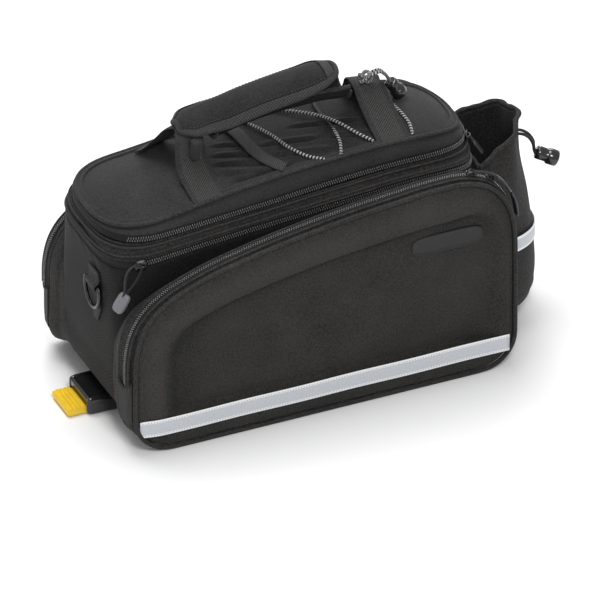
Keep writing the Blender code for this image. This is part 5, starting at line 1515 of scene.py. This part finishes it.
@dataclass
class BottlePocket:
    """Open pocket on the rear wall: gathered rim, drawn hem, strip and drawcord."""

    draw_a: Rows = (
        (217.5, -15.5, 188), (225, -17, 186), (230.5, -17.6, 181.5), (235, -18, 174),
        (236.6, -18.2, 163.4))
    draw_b: Rows = (
        (217.2, -19, 186), (224.5, -20.3, 184), (229.5, -21, 180), (233.5, -21.4, 172.5),
        (235.2, -21.5, 163.6))
    lock_at: Triple = (246.0, -23.0, 158.0)
    lock_axis: Triple = (0.86, -0.28, -0.42)
    strip_z: float = 83.0
    strip_half_angle: float = 78.0
    hem_radius: float = 2.3
    cord_radius: float = 1.4

    def build(self) -> None:
        """Make the pocket with its trim."""
        rings = []
        floor = FORM.pocket_ring(0.0)
        middle = floor.mean(axis=0)
        for share in (0.05, 0.5, 0.9):
            rings.append(middle + (floor - middle) * share + [0, 0, 0.4])
        for up in np.linspace(0, 1, 40):
            ring = FORM.pocket_ring(float(up))
            angle = np.arctan2(ring[:, 1], ring[:, 0] - FORM.rear - 8)
            free = rise(ring[:, 0] - FORM.rear, 4, 22)
            gather = 2.0 * np.sin(angle * 9 + 0.6 * np.sin(angle * 3)) * rise(up, 0.62, 1.0)
            dent = 1.5 * crumple(ring, 41, 45.0) * math.sin(math.pi * min(1.0, up)) ** 0.6
            seam = -1.0 * bump(up, 0.055, 0.012)
            ring = ring + outward_of(ring) * (free * (gather - 1.0 * rise(up, 0.7, 1.0) + dent
                                                      + seam))[:, None]
            rings.append(ring)
        hem = rings[-1].copy()
        Skin("pocket_cloth", np.stack(rings), "cloth", cap=Cap.STRIP, wall=1.8,
             away_from=(195, 0, 90)).build("bottle_pocket")
        back = np.maximum(hem[:, 0], FORM.rear + 3.2)
        hem[:, 2] += 1.7 + (back - hem[:, 0]) * 0.8
        hem[:, 0] = back
        walk = travel(hem, True)[:-1]
        Cord("pocket_hem_roll", hem, self.hem_radius, "cloth", up=(0, 0, 1), closed=True,
             taper=1 + 0.10 * np.sin(walk / 2.1 + np.sin(walk / 9))).build("pocket_hem")
        self._strip()
        self._drawcord()

    def _strip(self) -> None:
        """Reflective strip round the pocket."""
        turn = np.radians(np.linspace(-self.strip_half_angle, self.strip_half_angle, 50))
        path = np.array([FORM.pocket_point(a, self.strip_z + 10 * math.sin(a) ** 2, 1.7)
                         for a in turn])
        Ribbon("strip_pocket_tape", path, UP, 15.0, 0.8,
               "shine").build("strip_pocket")

    def _drawcord(self) -> None:
        """Two strands that run from the hem through the lock's hole."""
        for label, route in (("a", self.draw_a), ("b", self.draw_b)):
            inside = (route[-1][0] + 4.2, route[-1][1] - 1.2, route[-1][2] - 6.8)
            path = through([*route, inside], 30)
            cord = Cord(f"drawcord_strand_{label}", path, self.cord_radius,
                        "plain_cord").build(f"drawcord_{label}")
        Turned("drawcord_lock_body", self.lock_at, self.lock_axis, 21.0, (
            (-0.5, 3.0), (-0.49, 5.2), (-0.46, 6.0), (-0.30, 6.2), (-0.02, 6.0), (0.02, 6.6),
            (0.06, 7.4), (0.40, 7.5), (0.46, 7.1), (0.5, 5.6), (0.5, 4.6), (0.46, 4.2)),
            "gloss").build("drawcord_lock")


@dataclass
class Handle:
    """Padded handle wrap with its inner flap, the two straps under it and the rolled tab."""

    length: float = FORM.wrap_length
    front: float = FORM.wrap_front
    half: float = 20.5
    drop: float = 15.2
    thick: float = 3.6
    cap: float = 2.2
    web: float = 31.0
    front_x: float = -91.0
    rear_x: float = 87.0
    rear_crest: float = 268.0
    flap: tuple[float, float, float, float] = (-68.0, 60.0, 27.0, 15.5)
    columns: tuple[str, ...] = ("across", "rise", "shift", "width", "tilt")
    front_strap: Rows = (
        (-1.00, 0.00, 0.00, 1.00, 0.00), (-0.66, 0.04, -0.04, 1.00, 0.02),
        (-0.42, 0.26, -0.10, 1.00, 0.10), (-0.30, 0.60, -0.10, 0.90, 0.20),
        (-0.20, 0.86, -0.04, 0.80, 0.28), (0.00, 1.00, 0.00, 0.76, 0.28),
        (0.22, 0.86, -0.10, 0.85, 0.22), (0.45, 0.50, -0.25, 0.95, 0.12),
        (0.72, 0.16, -0.40, 1.00, 0.04), (1.00, 0.00, -0.50, 1.00, 0.00))
    rear_strap: Rows = (
        (-1.00, 0.00, 0.00, 1.00, 0.00), (-0.72, 0.10, -0.03, 1.00, 0.00),
        (-0.45, 0.38, -0.10, 1.00, -0.08), (-0.28, 0.70, -0.16, 1.00, -0.16),
        (-0.16, 0.93, -0.20, 1.00, -0.22), (0.00, 1.00, -0.22, 1.00, -0.22),
        (0.20, 0.90, -0.18, 1.00, -0.16), (0.45, 0.55, -0.08, 1.00, -0.08),
        (0.72, 0.18, 0.00, 1.00, 0.00), (1.00, 0.00, 0.00, 1.00, 0.00))

    def _surface(self, along: Array, across: Array, under: float) -> Array:
        """Saddle of the wrap: z = crest - drop * |across| ** 2.4, moved down by under."""
        half = self.half * WRAP.at("half", along)
        drop = self.drop * WRAP.at("drop", along)
        x = self.front + self.length * along
        flat = np.abs(across) ** 2.4
        round_end = 1 - 0.12 * bump(along, 1.0, 0.05) - 0.42 * bump(along, 0.0, 0.045)
        return np.stack([x, (half * round_end - 0.5 * under) * across,
                         FORM.wrap_top(x) - drop * flat - under * (1 - 0.35 * flat)], -1)

    def _pad(self) -> bpy.types.Object:
        """Closed padded saddle, swollen by a short cloth simulation."""
        along = np.linspace(0.0, 1.0, 90)
        across = np.linspace(-1, 1, 34)
        a, c = np.meshgrid(along, across, indexing="ij")
        top = self._surface(a, c, 0.3)
        low = self._surface(a, c, self.thick)
        loop = np.concatenate([top, low[:, ::-1]], axis=1)
        first, last = loop[:1].mean(axis=1, keepdims=True), loop[-1:].mean(axis=1, keepdims=True)
        loop = np.concatenate([np.repeat(first, loop.shape[1], 1), loop,
                               np.repeat(last, loop.shape[1], 1)], axis=0)
        pad = Skin("handle_pad", loop, "lid").build("handle_wrap")
        self._merge(pad)
        self._swell(pad)
        pad.data.shade_smooth()
        return pad

    @staticmethod
    def _merge(piece: bpy.types.Object) -> None:
        """Weld the points that meet at the piece's ends."""
        solid = bmesh.new()
        solid.from_mesh(piece.data)
        bmesh.ops.remove_doubles(solid, verts=solid.verts, dist=1e-5)
        bmesh.ops.recalc_face_normals(solid, faces=solid.faces)
        solid.to_mesh(piece.data)
        solid.free()

    def _swell(self, pad: bpy.types.Object) -> None:
        """Remesh, inflate for 20 frames, cap how far each point moves, and smooth."""
        bpy.context.view_layer.objects.active = pad
        remesh = pad.modifiers.new("voxels", "REMESH")
        remesh.mode = "VOXEL"
        remesh.voxel_size = 0.0022
        bpy.ops.object.modifier_apply(modifier=remesh.name)
        start = np.array([v.co for v in pad.data.vertices])
        held = pad.vertex_groups.new(name="held")
        x = start[:, 0] / MM - SHIFT
        share = (x - self.front) / self.length
        half = self.half * WRAP.at("half", share)
        for index, (place, width, at) in enumerate(zip(start, half, share)):
            edge = abs(place[1] / MM) > width - 4.0 or at < 0.03 or at > 0.965
            held.add([index], 1.0 if edge else 0.0, "REPLACE")
        cloth = pad.modifiers.new("cloth", "CLOTH")
        cloth.settings.use_pressure = True
        cloth.settings.uniform_pressure_force = 4.0
        cloth.settings.vertex_group_mass = held.name
        cloth.settings.effector_weights.gravity = 0.0
        scene = bpy.context.scene
        for frame_number in range(1, 21):
            scene.frame_set(frame_number)
        posed = pad.evaluated_get(bpy.context.evaluated_depsgraph_get())
        moved = np.array([v.co for v in posed.data.vertices]) - start
        pad.modifiers.remove(cloth)
        scene.frame_set(1)
        size = np.linalg.norm(moved, axis=1)[:, None]
        moved *= np.minimum(1.0, self.cap * MM / np.maximum(size, TINY))
        pad.data.vertices.foreach_set("co", (start + moved).ravel())
        softer = pad.modifiers.new("softer", "SUBSURF")
        softer.levels = softer.render_levels = 1

    def _binding(self) -> None:
        """Folded binding round the wrap's edge and the stitches just inside it."""
        t = np.linspace(0, 1, 80)
        near = self._surface(t, np.full(80, -1.0), self.thick / 2)
        far = self._surface(t[::-1], np.full(80, 1.0), self.thick / 2)
        side = np.linspace(-1, 1, 26)[1:-1]
        rear = self._surface(np.ones(24), side, self.thick / 2)
        front = self._surface(np.zeros(24), -side, self.thick / 2)
        rear[:, 0] += 2.6 * (1 - side ** 2)
        loop = relax(even(np.vstack([near, rear, far, front]), 320, closed=True), 4)
        middle = loop.mean(axis=0) + [0, 0, -14]
        up = loop - middle
        up[:, 0] *= 0.35
        Skin("handle_binding", carry(circle(2.9, 14, 0.92), loop, up, True), "webbing",
             loop_rows=True,
             marks={"across": np.cos(turns(14))}).build()
        for label, low, high in (("near", -1.0, -0.85), ("far", 0.85, 1.0)):
            a, c = np.meshgrid(np.linspace(0.01, 0.985, 90), np.linspace(low, high, 8), indexing="ij")
            strip = self._surface(a, c, -0.9)
            strip[..., 1] += math.copysign(0.5, low + high)
            Skin(f"handle_border_{label}", strip, "webbing", loop_columns=False, wall=0.9,
                 away_from=(-20, 0, 200),
                 marks={"across": np.linspace(-0.9, 0.9, 8)[None, :]}).build()
        a, c = np.meshgrid(np.linspace(0.93, 0.99, 7), np.linspace(-0.85, 0.85, 40), indexing="ij")
        Skin("handle_border_rear", self._surface(a, c, -0.95), "webbing", loop_columns=False, wall=0.9,
             away_from=(-20, 0, 200), marks={"across": np.linspace(-0.9, 0.9, 7)[:, None]}).build()
        for label, share in (("near", -0.81), ("far", 0.81)):
            t = np.linspace(0.05, 0.93, 90)
            line = self._surface(t, np.full(90, share), 0.0) + [0, 0, 1.1]
            up = np.array([0.0, math.copysign(0.55, share), 1.0])
            Row(f"handle_stitch_{label}", line, up, 3.2, (2.2, 0.55, 0.45), "thread").build()

    def _flap(self) -> None:
        """Mesh-lined inner flap below the wrap and its bound edges."""
        front, rear, depth, half = self.flap
        x = np.linspace(front, rear, 60)
        roof = FORM.wrap_top(x) - 4.3
        low = roof - depth
        turn = np.linspace(0, math.pi, 30)
        lift = (roof - 12.0 - low)[:, None] * (1 - np.sin(turn) ** 0.6)
        tray = np.stack([np.broadcast_to(x[:, None], lift.shape),
                         np.broadcast_to(-half * np.cos(turn), lift.shape), low[:, None] + lift], -1)
        tray[..., 2] += 0.7 * crumple(tray, 61, 34.0)
        Skin("handle_lining", tray, "lining", loop_columns=False, wall=1.8,
             away_from=(0, 0, 290)).build("handle_flap")
        for label, column in (("near", 0), ("far", -1)):
            Cord(f"handle_lining_edge_{label}", tray[:, column] + [0, 0, 0.4], 2.0, "piping",
                 up=(0, 1, 0.2)).build()
        for label, row in (("front", 0), ("rear", -1)):
            Cord(f"handle_lining_hem_{label}", tray[row, 1:-1], 1.9, "piping",
                 up=(1, 0, 0.2)).build()

    def _strap(self, name: str, node: str, x: float, crest: float, lean: float,
               rows: Rows) -> None:
        """Webbing arch from the lid's near edge over a crest to its far edge."""
        table = np.array(rows)
        index = np.arange(len(rows), dtype=float)
        at = np.linspace(0, len(rows) - 1, 90)
        across, lift, shift, wide, tilt = (smooth(index, table[:, k], at) for k in range(5))
        y = across * float(FORM.lid_width(x)) * np.where(across < 0, 0.985, 0.86)
        shift, wide = shift * self.web, wide * self.web
        ahead = FORM.lid_top(x + shift - wide / 2, y)
        behind = FORM.lid_top(x + shift + wide / 2, y)
        base = (ahead + behind) / 2 + 0.9 + 1.2
        path = np.c_[x + shift, y, base + (crest - base) * lift]
        slope = tilt + (behind - ahead) / wide * (1 - lift)
        way = np.c_[np.ones(len(y)), lean * np.ones(len(y)), slope]
        Ribbon(name, path, way, wide, 1.8, "webbing", bow=0.5).build(node)

    def build(self) -> None:
        """Make the straps first, then the wrap over them."""
        reach = np.linspace(-self.web / 2, self.web / 2, 7)
        crest = float(np.min(FORM.wrap_top(self.front_x + reach) - 4 - 0.3 - 0.9
                             - 0.28 * reach * 0.76))
        self._strap("strap_front_web", "strap_front", self.front_x, crest, 0.12, self.front_strap)
        self._strap("strap_rear_web", "strap_rear", self.rear_x, self.rear_crest, 0.0,
                    self.rear_strap)
        self._pad()
        self._binding()
        self._flap()
        share = (self.front_x - self.front) / self.length
        top = float(FORM.wrap_top(self.front_x)) - self.drop * float(WRAP.at("drop", share)) - 4.3
        Turned("handle_tab_roll", (self.front_x, -22.5, top - 9.5), (0.05, -0.12, 1), 19.0, (
            (-0.5, 1.4), (-0.46, 3.4), (-0.5, 4.4), (-0.42, 5.1), (0.0, 5.0), (0.42, 5.1),
            (0.48, 4.4), (0.5, 3.0)), "lid").build("handle_tab")


@dataclass
class Lacing:
    """Flat band and elastic lacing on the lid, its knot and its lock."""

    band_route: tuple[tuple[float, float], ...] = (
        (-16, -47), (-20, -43), (-28, -33), (-33, -21), (-35, -5), (-36, 11), (-38, 30), (-40, 48))
    laces: tuple[tuple[str, tuple[Triple, ...]], ...] = (
        ("a", ((20, -50, 0), (8, -43, 0), (-3, -28, 0), (-11, -2, 0), (-21, 24, 0), (-28, 42, 0))),
        ("b", ((69, -45, 0), (59, -34, 1), (48, -18, 3.4), (37, 4, 1), (22, 22, 0), (4, 40, 0))),
        ("c", ((36, -50, 0), (40, -39, 0), (42, -16, 0), (41, 10, 0), (44, 28, 0), (48, 40, 0))),
        ("d", ((106, -47, 0), (108, -36, 0), (107, -22, 0), (105, -8, 0))))
    knot: Triple = (78.0, -7.0, 274.6)
    lock_axis: Triple = (0.55, 0.0, -0.83)
    lock_at: Triple = (113.0, 6.0, 10.9)
    cord_radius: float = 1.5

    @staticmethod
    def _on_lid(x: float, y: float, lift: float) -> Triple:
        """Place above the lid's top."""
        return (x, y, float(FORM.lid_top(x, y)) + lift)

    def build(self) -> None:
        """Lay the band and the cords, then tie the knot and set the lock."""
        route = through([(x, y, 0.0) for x, y in self.band_route], 60)
        path = np.array([self._on_lid(x, y, 2.0 * (1 - (y / 55) ** 2) + 1.6) for x, y, _ in route])
        Ribbon("lid_band_web", path, np.array([1.0, 0.25, 0.0]), 13.0, 1.2, "webbing",
               bow=0.3).build("lid_band")
        for name, places in self.laces:
            path = through([self._on_lid(x, y, up + 2.3) for x, y, up in places], 70)
            shown = {"a": 0.75, "c": 0.30}.get(name, 1.0)
            end = 1 - np.linspace(0, 1, 70)
            fleck = 0.12 + 0.88 * rise(end, 1 - shown - 0.08, 1 - shown) if shown < 1 else 1.0
            Cord(f"lace_cord_{name}", path, self.cord_radius, "fleck",
                 fleck=fleck).build(f"lace_{name}")
        lock = np.array(self._on_lid(*self.lock_at))
        self._knot(lock)
        Turned("lace_lock_body", tuple(lock), self.lock_axis, 19.0, (
            (-0.5, 2.6), (-0.49, 4.8), (-0.46, 5.6), (-0.28, 5.8), (0.02, 5.6), (0.06, 6.2),
            (0.10, 6.9), (0.40, 7.0), (0.46, 6.6), (0.5, 5.2), (0.5, 4.2), (0.46, 3.8)),
            "gloss").build("lace_lock")

    def _knot(self, lock: Array) -> None:
        """Ball of wound cord on the rear strap, and the strands from it to the lock."""
        middle = np.array(self.knot)
        turn = np.linspace(0, math.tau, 150)
        coil = np.stack([4.4 * np.cos(turn * 2) * (1 + 0.22 * np.cos(3 * turn)),
                         3.8 * np.sin(turn * 2) * (1 + 0.22 * np.cos(3 * turn)),
                         3.4 * np.sin(3 * turn) + 0.2], -1)
        Cord("lace_knot_ball", middle + coil, 1.7, "fleck", closed=True).build("lace_knot")
        axis = np.array(self.lock_axis) / np.linalg.norm(self.lock_axis)
        top = lock - axis * 8.6
        for number, shift in ((1, -1.8), (2, 1.8)):
            path = through([tuple(middle + [3.5, shift, 2.0]), tuple(middle + [12, shift, 3.4]),
                            tuple((middle + top) / 2 + [6, shift * 0.8, 5.0]),
                            tuple(top + [-1.5, shift * 0.7, 3.4]),
                            tuple(top + axis * 3 + [0, shift * 0.7, 0])], 40)
            Cord(f"lace_strand_{number}", path, self.cord_radius, "fleck").build()


@dataclass
class Base:
    """Slide plate, housing and release lever: the frame's own parts, softened and dressed."""

    edges: tuple[tuple[str, str, float], ...] = (
        ("slide_plate", "plastic", 0.5), ("plate_housing", "gloss", 1.1),
        ("release_lever", "yellow", 0.45))

    def build(self) -> None:
        """Round the edges and give each part its finish."""
        for node, finish, width in self.edges:
            part = frame["nodes"][node]
            bevel = part.modifiers.new("edge", "BEVEL")
            bevel.width = width * MM
            bevel.segments = 3
            bevel.limit_method = "ANGLE"
            bevel.angle_limit = math.radians(35)
            bevel.harden_normals = True
            Finishes.dress(part, finish)
        self._cheeks()

    def _cheeks(self) -> None:
        """Side cheeks of the housing beside the lever."""
        low, high = (np.array(corner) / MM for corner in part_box("plate_housing"))
        a, b = rounded(40, 0.25, 0.25)
        middle, reach = (low + high) / 2, (high - low) / 2
        for side in Side:
            rows = []
            for y, grow in ((17.6, 0.97), (17.9, 1.0), (20.2, 1.0), (20.7, 0.97)):
                rows.append(np.c_[middle[0] - SHIFT + a * (reach[0] + 0.5) * grow,
                                  np.full(40, side.value * y), 9.1 + b * 8.7 * grow])
            Skin(f"housing_cheek_{side.label}", np.stack(rows), "gloss",
                 cap=Cap.BOTH).build()


@dataclass
class DRing:
    """D-ring in its ribbed webbing loop on the front panel."""

    y: float = -23.0
    bar_z: float = 141.0
    radius: float = 1.8
    width: float = 31.0
    drop: float = 24.0
    straight: float = 6.0
    web: float = 22.0

    def _face(self, z: float) -> float:
        """x of the body's front panel on its middle line."""
        top = float(FORM.edge(FORM.front, "body_zip")) - FORM.zip_half - FORM.fit
        up = (z - FORM.bottom) / (top - FORM.bottom)
        table = np.array(FORM.sections.rows)
        return FORM.front + float(np.interp(up, table[:, 0], table[:, 1]))

    def build(self) -> None:
        """Webbing round the bar, its lower tip, and the ring."""
        bar = np.array([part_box("d_ring")[k] for k in (0, 1)]) / MM
        bar_x = float(bar[:, 0].mean()) - SHIFT
        over, flat = self.radius + 0.3 + 0.8, 1.3
        path = [(self._face(self.bar_z + up) - flat, self.bar_z + up) for up in (15, 11, 7)]
        for angle in np.radians(np.linspace(100, 260, 13)):
            path.append((bar_x + over * math.cos(angle), self.bar_z + over * math.sin(angle)))
        path += [(self._face(z) - flat, z) for z in np.linspace(self.bar_z - 5, self.bar_z - 38, 9)]
        places = through([(x, self.y, z) for x, z in path], 90)
        tail = 1 - 0.55 * rise(-places[:, 2], 6 - self.bar_z + 16, 38 - self.bar_z)
        Ribbon("dring_webbing", places, np.array([0.0, -1.0, 0.0]), self.web * tail, 1.6,
               "webbing").build("dring_tab")
        half = self.width / 2
        turn = np.radians(np.linspace(180, 360, 40))
        bow = [(0.0, half * math.cos(t), -self.straight + (self.drop - self.straight) * math.sin(t))
               for t in turn]
        loop = np.array(bow + [(0.0, s * half, 0.0) for s in np.linspace(0.93, -0.93, 14)])
        loop = relax(even(loop, 120, closed=True), 3) + [bar_x, self.y, self.bar_z]
        Cord("d_ring_wire", loop, self.radius, "metal", up=(1, 0, 0), closed=True,
             body="ring").build("d_ring")


@dataclass
class Slider:
    """Zip slider: a waisted metal body with its bridge, standing on a zip."""

    name: str
    at: Array
    normal: Array
    ahead: Array
    size: Triple = (10.0, 7.6, 3.2)
    waist: float = 0.16

    def build(self, *nodes: str) -> None:
        """Two stacked plates with a waist between them, and a bridge over the top."""
        side = np.cross(self.normal, self.ahead)
        a, b = rounded(28, 0.55, 0.55)
        b = b * (1 - self.waist * np.cos(turns(28)))
        rows = []
        for up, share in ((0.1, 0.90), (0.25, 1.0), (0.85, 1.0), (1.0, 0.93), (1.3, 0.78),
                          (1.7, 0.78), (2.0, 0.93), (2.2, 1.0), (2.8, 0.98), (3.1, 0.84)):
            rows.append(self.at + self.normal * up + np.outer(a * share * self.size[0] / 2, self.ahead)
                        + np.outer(b * share * self.size[1] / 2, side))
        Skin(self.name, np.stack(rows), "metal", cap=Cap.BOTH).build(*nodes)
        arch = [self.at + self.ahead * x + self.normal * z
                for x, z in ((-3.6, 2.6), (-3.0, 4.4), (-1.0, 5.4), (1.4, 5.2), (3.2, 4.0), (3.6, 2.6))]
        Cord(self.name + "_bridge", through([tuple(p) for p in arch], 20), 0.95, "metal",
             up=tuple(side)).build()


@dataclass
class Fasteners:
    """Zip sliders with their pulls, and the front slider's cord loop and grey tab."""

    loop: Rows = (
        (-180.5, -70, 155), (-179.5, -70, 168), (-177.5, -70.9, 177), (-172, -70.9, 181.5),
        (-166.5, -70.9, 181), (-164.5, -70.9, 177.5), (-166.5, -70.9, 171), (-172, -70, 161),
        (-176.5, -70, 156))
    tab_at: Triple = (-183.4, -70.0, 145.8)
    tab_axes: Rows = (
        (-0.525, 0, -0.851), (0.34, -0.94, -0.21), (-0.8, -0.34, 0.49))
    tab_size: Triple = (19.0, 11.5, 4.5)
    body_x: float = -164.0
    lid_x: float = 163.0
    side_zip: tuple[tuple[str, float, float, float], ...] = (
        ("upper", 143.0, 44.0, 3.2), ("lower", 161.0, 54.4, -3.2))

    @staticmethod
    def _on_ring(ring: Array, x: float, side: Side) -> tuple[Array, Array, Array]:
        """Point of a plan ring nearest to x on one side, its normal and its direction."""
        k = int(np.argmin(np.where(ring[:, 1] * side.value > 0, np.abs(ring[:, 0] - x), 1e3)))
        ahead = ring[(k + 2) % len(ring)] - ring[k - 2]
        ahead /= np.linalg.norm(ahead)
        normal = np.array([-ahead[1], ahead[0], 0.0])
        normal *= np.sign(normal[1] * side.value) or 1.0
        return ring[k], normal / np.linalg.norm(normal), ahead

    def _lid_sliders(self, side: Side, label: str) -> None:
        """Rear slider of the lid's zip with its hanging rubber pull."""
        ring = FORM.wall_ring(1.0, "lid_zip")
        at, normal, ahead = self._on_ring(ring, self.lid_x, side)
        Slider(f"lid_slider_body_{label}", at + normal * 0.5, normal, ahead).build(f"lid_slider_{label}")
        drop = np.linspace(0, 1, 26)
        path = at + normal * (5.1 + 12 * drop[:, None]) - np.array([0, 0, 18.0]) * drop[:, None]
        wide = 3.0 + 5.0 * rise(drop, 0.25, 0.45) - 1.8 * rise(drop, 0.9, 1.0)
        Ribbon(f"lid_pull_tab_{label}", path, ahead, wide, 1.9, "rubber").build(f"lid_pull_{label}")

    def _side_sliders(self, side: Side, label: str) -> None:
        """Two sliders on a side zip with cord and rubber pulls lying rearwards over it."""
        ring = even(FORM.gusset_ring(side, FORM.zip_share(), 1.3), 800, closed=True)
        ahead = directions(ring, True)
        normals = np.c_[-ahead[:, 2], np.zeros(len(ring)), ahead[:, 0]]
        step = float(np.linalg.norm(ring[1] - ring[0]))
        for name, x, reach, out in self.side_zip:
            k = int(np.argmin(np.where(ring[:, 2] > 101, np.abs(ring[:, 0] - x), 1e3)))
            Slider(f"side_slider_body_{name}_{label}", ring[k], normals[k],
                   ahead[k]).build(f"side_slider_{name}_{label}")
            run = (k + np.arange(0, int(reach / step))) % len(ring)
            share_run = np.linspace(0, 1, len(run))
            lift = (5.6 + 1.2 * np.sin(math.pi * share_run))[:, None]
            path = ring[run] + normals[run] * lift + [0.0, side.value * out, 0.0]
            cut = int(0.55 * len(run))
            Ribbon(f"side_pull_tab_{name}_{label}", path[cut:], ACROSS,
                   6.0 + 3.4 * rise(share_run[cut:], 0.6, 0.7) - 2.6 * rise(share_run[cut:], 0.95, 1.0),
                   2.2, "rubber").build(f"side_pull_{name}_{label}")
            for number, shift in ((1, -1.1), (2, 1.1)):
                Cord(f"side_pull_cord_{name}_{number}_{label}", path[:cut + 3] + [0, shift, 0], 0.9,
                     "plain_cord").build()

    def _front_pull(self) -> None:
        """Sliders at the body zip's front end, and the cord loop with its moulded tab."""
        ring = FORM.wall_ring(0.0, "body_zip")
        for side in Side:
            at, normal, ahead = self._on_ring(ring, self.body_x, side)
            Slider(f"body_slider_body_{side.label}", at + normal * 0.5, normal, ahead,
                   (11.5, 8.6, 3.4)).build(f"body_slider_{side.label}")
        down = (-184.6, -70.0, 146.5)
        path = through([(-182.8, -69.6, 147.5), *self.loop, (-180.6, -70.3, 149.5), down], 60)
        cord = Cord("pull_cord_loop", path, 1.2, "plain_cord", up=(0, 1, 0.1)).build("pull_cord")
        axes = [np.array(a) / np.linalg.norm(a) for a in self.tab_axes]
        a, b = rounded(36, 0.5, 0.5)
        a, b = a * self.tab_size[0] / 2, b * self.tab_size[1] / 2
        rows = []
        for up, share in ((-0.5, 0.86), (-0.42, 0.97), (-0.2, 1.0), (0.2, 1.0), (0.42, 0.94),
                          (0.5, 0.82)):
            rows.append(np.array(self.tab_at) + axes[2] * self.tab_size[2] * up
                        + np.outer(a * share, axes[0]) + np.outer(b * share, axes[1]))
        tab = Skin("pull_tab_body", np.stack(rows), "grey",
                   cap=Cap.BOTH).build("pull_tab")

    def build(self) -> None:
        """Make all sliders and pulls."""
        self._front_pull()
        for side in Side:
            self._lid_sliders(side, side.label)
            self._side_sliders(side, side.label)


@dataclass
class Badge:
    """Bare panel badge on the near shell: a low rounded plate with a fine raised border."""

    middle: tuple[float, float] = (118.0, 145.0)
    length: float = 68.0
    height: float = 19.0

    def build(self) -> None:
        """Stack rounded outlines outwards from the shell's panel."""
        a, b = rounded(72, 0.4, 0.6)
        a, b = a * self.length / 2, b * self.height / 2
        rows = []
        for out, inset in ((-1.6, 0.0), (1.1, 0.0), (1.5, 0.4), (1.6, 0.9), (1.5, 1.4), (1.1, 1.8),
                           (1.05, 4.0), (1.05, 8.0)):
            grow_a, grow_b = 1 - 2 * inset / self.length, 1 - 2 * inset / self.height
            rows.append(np.c_[self.middle[0] + a * grow_a, np.full(72, FORM.recess - FORM.shell_y - out),
                              self.middle[1] + b * grow_b])
        Skin("badge_plate", np.stack(rows), "badge", cap=Cap.BOTH,
             away_from=(118, 0, 145)).build("patch")


@dataclass
class Studio:
    """Plain pale floor, soft lights and the camera at the photograph's angle."""

    turn: float = -24.0
    tilt: float = 33.5
    distance: float = 24.0
    focal: float = 1636.0
    target: Triple = (0.0038, 0.0, 0.0523)
    lamps: tuple[tuple[str, Triple, float, float], ...] = (
        ("over", (-0.2, 0.5, 2.4), 1.3, 38.0), ("front", (-2.2, -0.8, 1.2), 1.2, 1.2),
        ("near", (-0.5, -2.3, 2.6), 0.9, 52.0), ("behind", (0.9, 1.8, 1.3), 1.0, 16.0))

    def camera(self) -> None:
        """Long lens from the near front, above."""
        az, el = math.radians(self.turn), math.radians(self.tilt)
        way = Vector((math.sin(az) * math.cos(el), -math.cos(az) * math.cos(el), math.sin(el)))
        lens = bpy.data.cameras.new("camera")
        lens.lens = self.focal
        lens.sensor_width = 36.0
        lens.clip_end = 90.0
        eye = added("camera", lens)
        eye.location = Vector(self.target) + way * self.distance
        eye.rotation_euler = (-way).to_track_quat("-Z", "Y").to_euler()
        bpy.context.scene.camera = eye

    def _light(self, name: str, place: Triple, size: float,
               power: float) -> None:
        """Square area light that faces the bag."""
        data = bpy.data.lights.new(name, "AREA")
        data.energy = power
        data.size = size
        lamp = added(name, data)
        lamp.location = place
        lamp.rotation_euler = (Vector((0, 0, 0.1)) - Vector(place)).to_track_quat("-Z", "Y").to_euler()

    def build(self) -> None:
        """Floor, world and lamps."""
        made = bpy.data.meshes.new("floor")
        made.from_pydata([(-9, -9, 0), (9, -9, 0), (9, 9, 0), (-9, 9, 0)], [], [(0, 1, 2, 3)])
        floor = added("floor", made)
        paint = bpy.data.materials.new("pale_floor")
        paint.use_nodes = True
        shader = paint.node_tree.nodes["Principled BSDF"]
        shader.inputs["Base Color"].default_value = (0.86, 0.86, 0.86, 1)
        shader.inputs["Roughness"].default_value = 0.9
        floor.data.materials.append(paint)
        world = bpy.data.worlds.new("studio")
        world.use_nodes = True
        world.node_tree.nodes["Background"].inputs["Color"].default_value = (1, 1, 1, 1)
        world.node_tree.nodes["Background"].inputs["Strength"].default_value = 0.5
        bpy.context.scene.world = world
        for lamp in self.lamps:
            self._light(*lamp)
        bpy.context.scene.view_settings.view_transform = "Standard"


def main() -> None:
    """Build the cords, the studio and every assembly in order."""
    logging.basicConfig(level=logging.INFO, format="%(message)s")
    studio = Studio()
    studio.camera()
    assemblies = [Fasteners(), BottlePocket(), studio, Body(), Walls(), Lid(), SidePocket(Side.NEAR),
                  SidePocket(Side.FAR), Badge(), Handle(), Lacing(), Base(), DRing()]
    for assembly in assemblies:
        before = len(bpy.data.objects)
        assembly.build()
        LOG.info("%s: %d pieces", type(assembly).__name__, len(bpy.data.objects) - before)


if __name__ == "__main__":
    main()
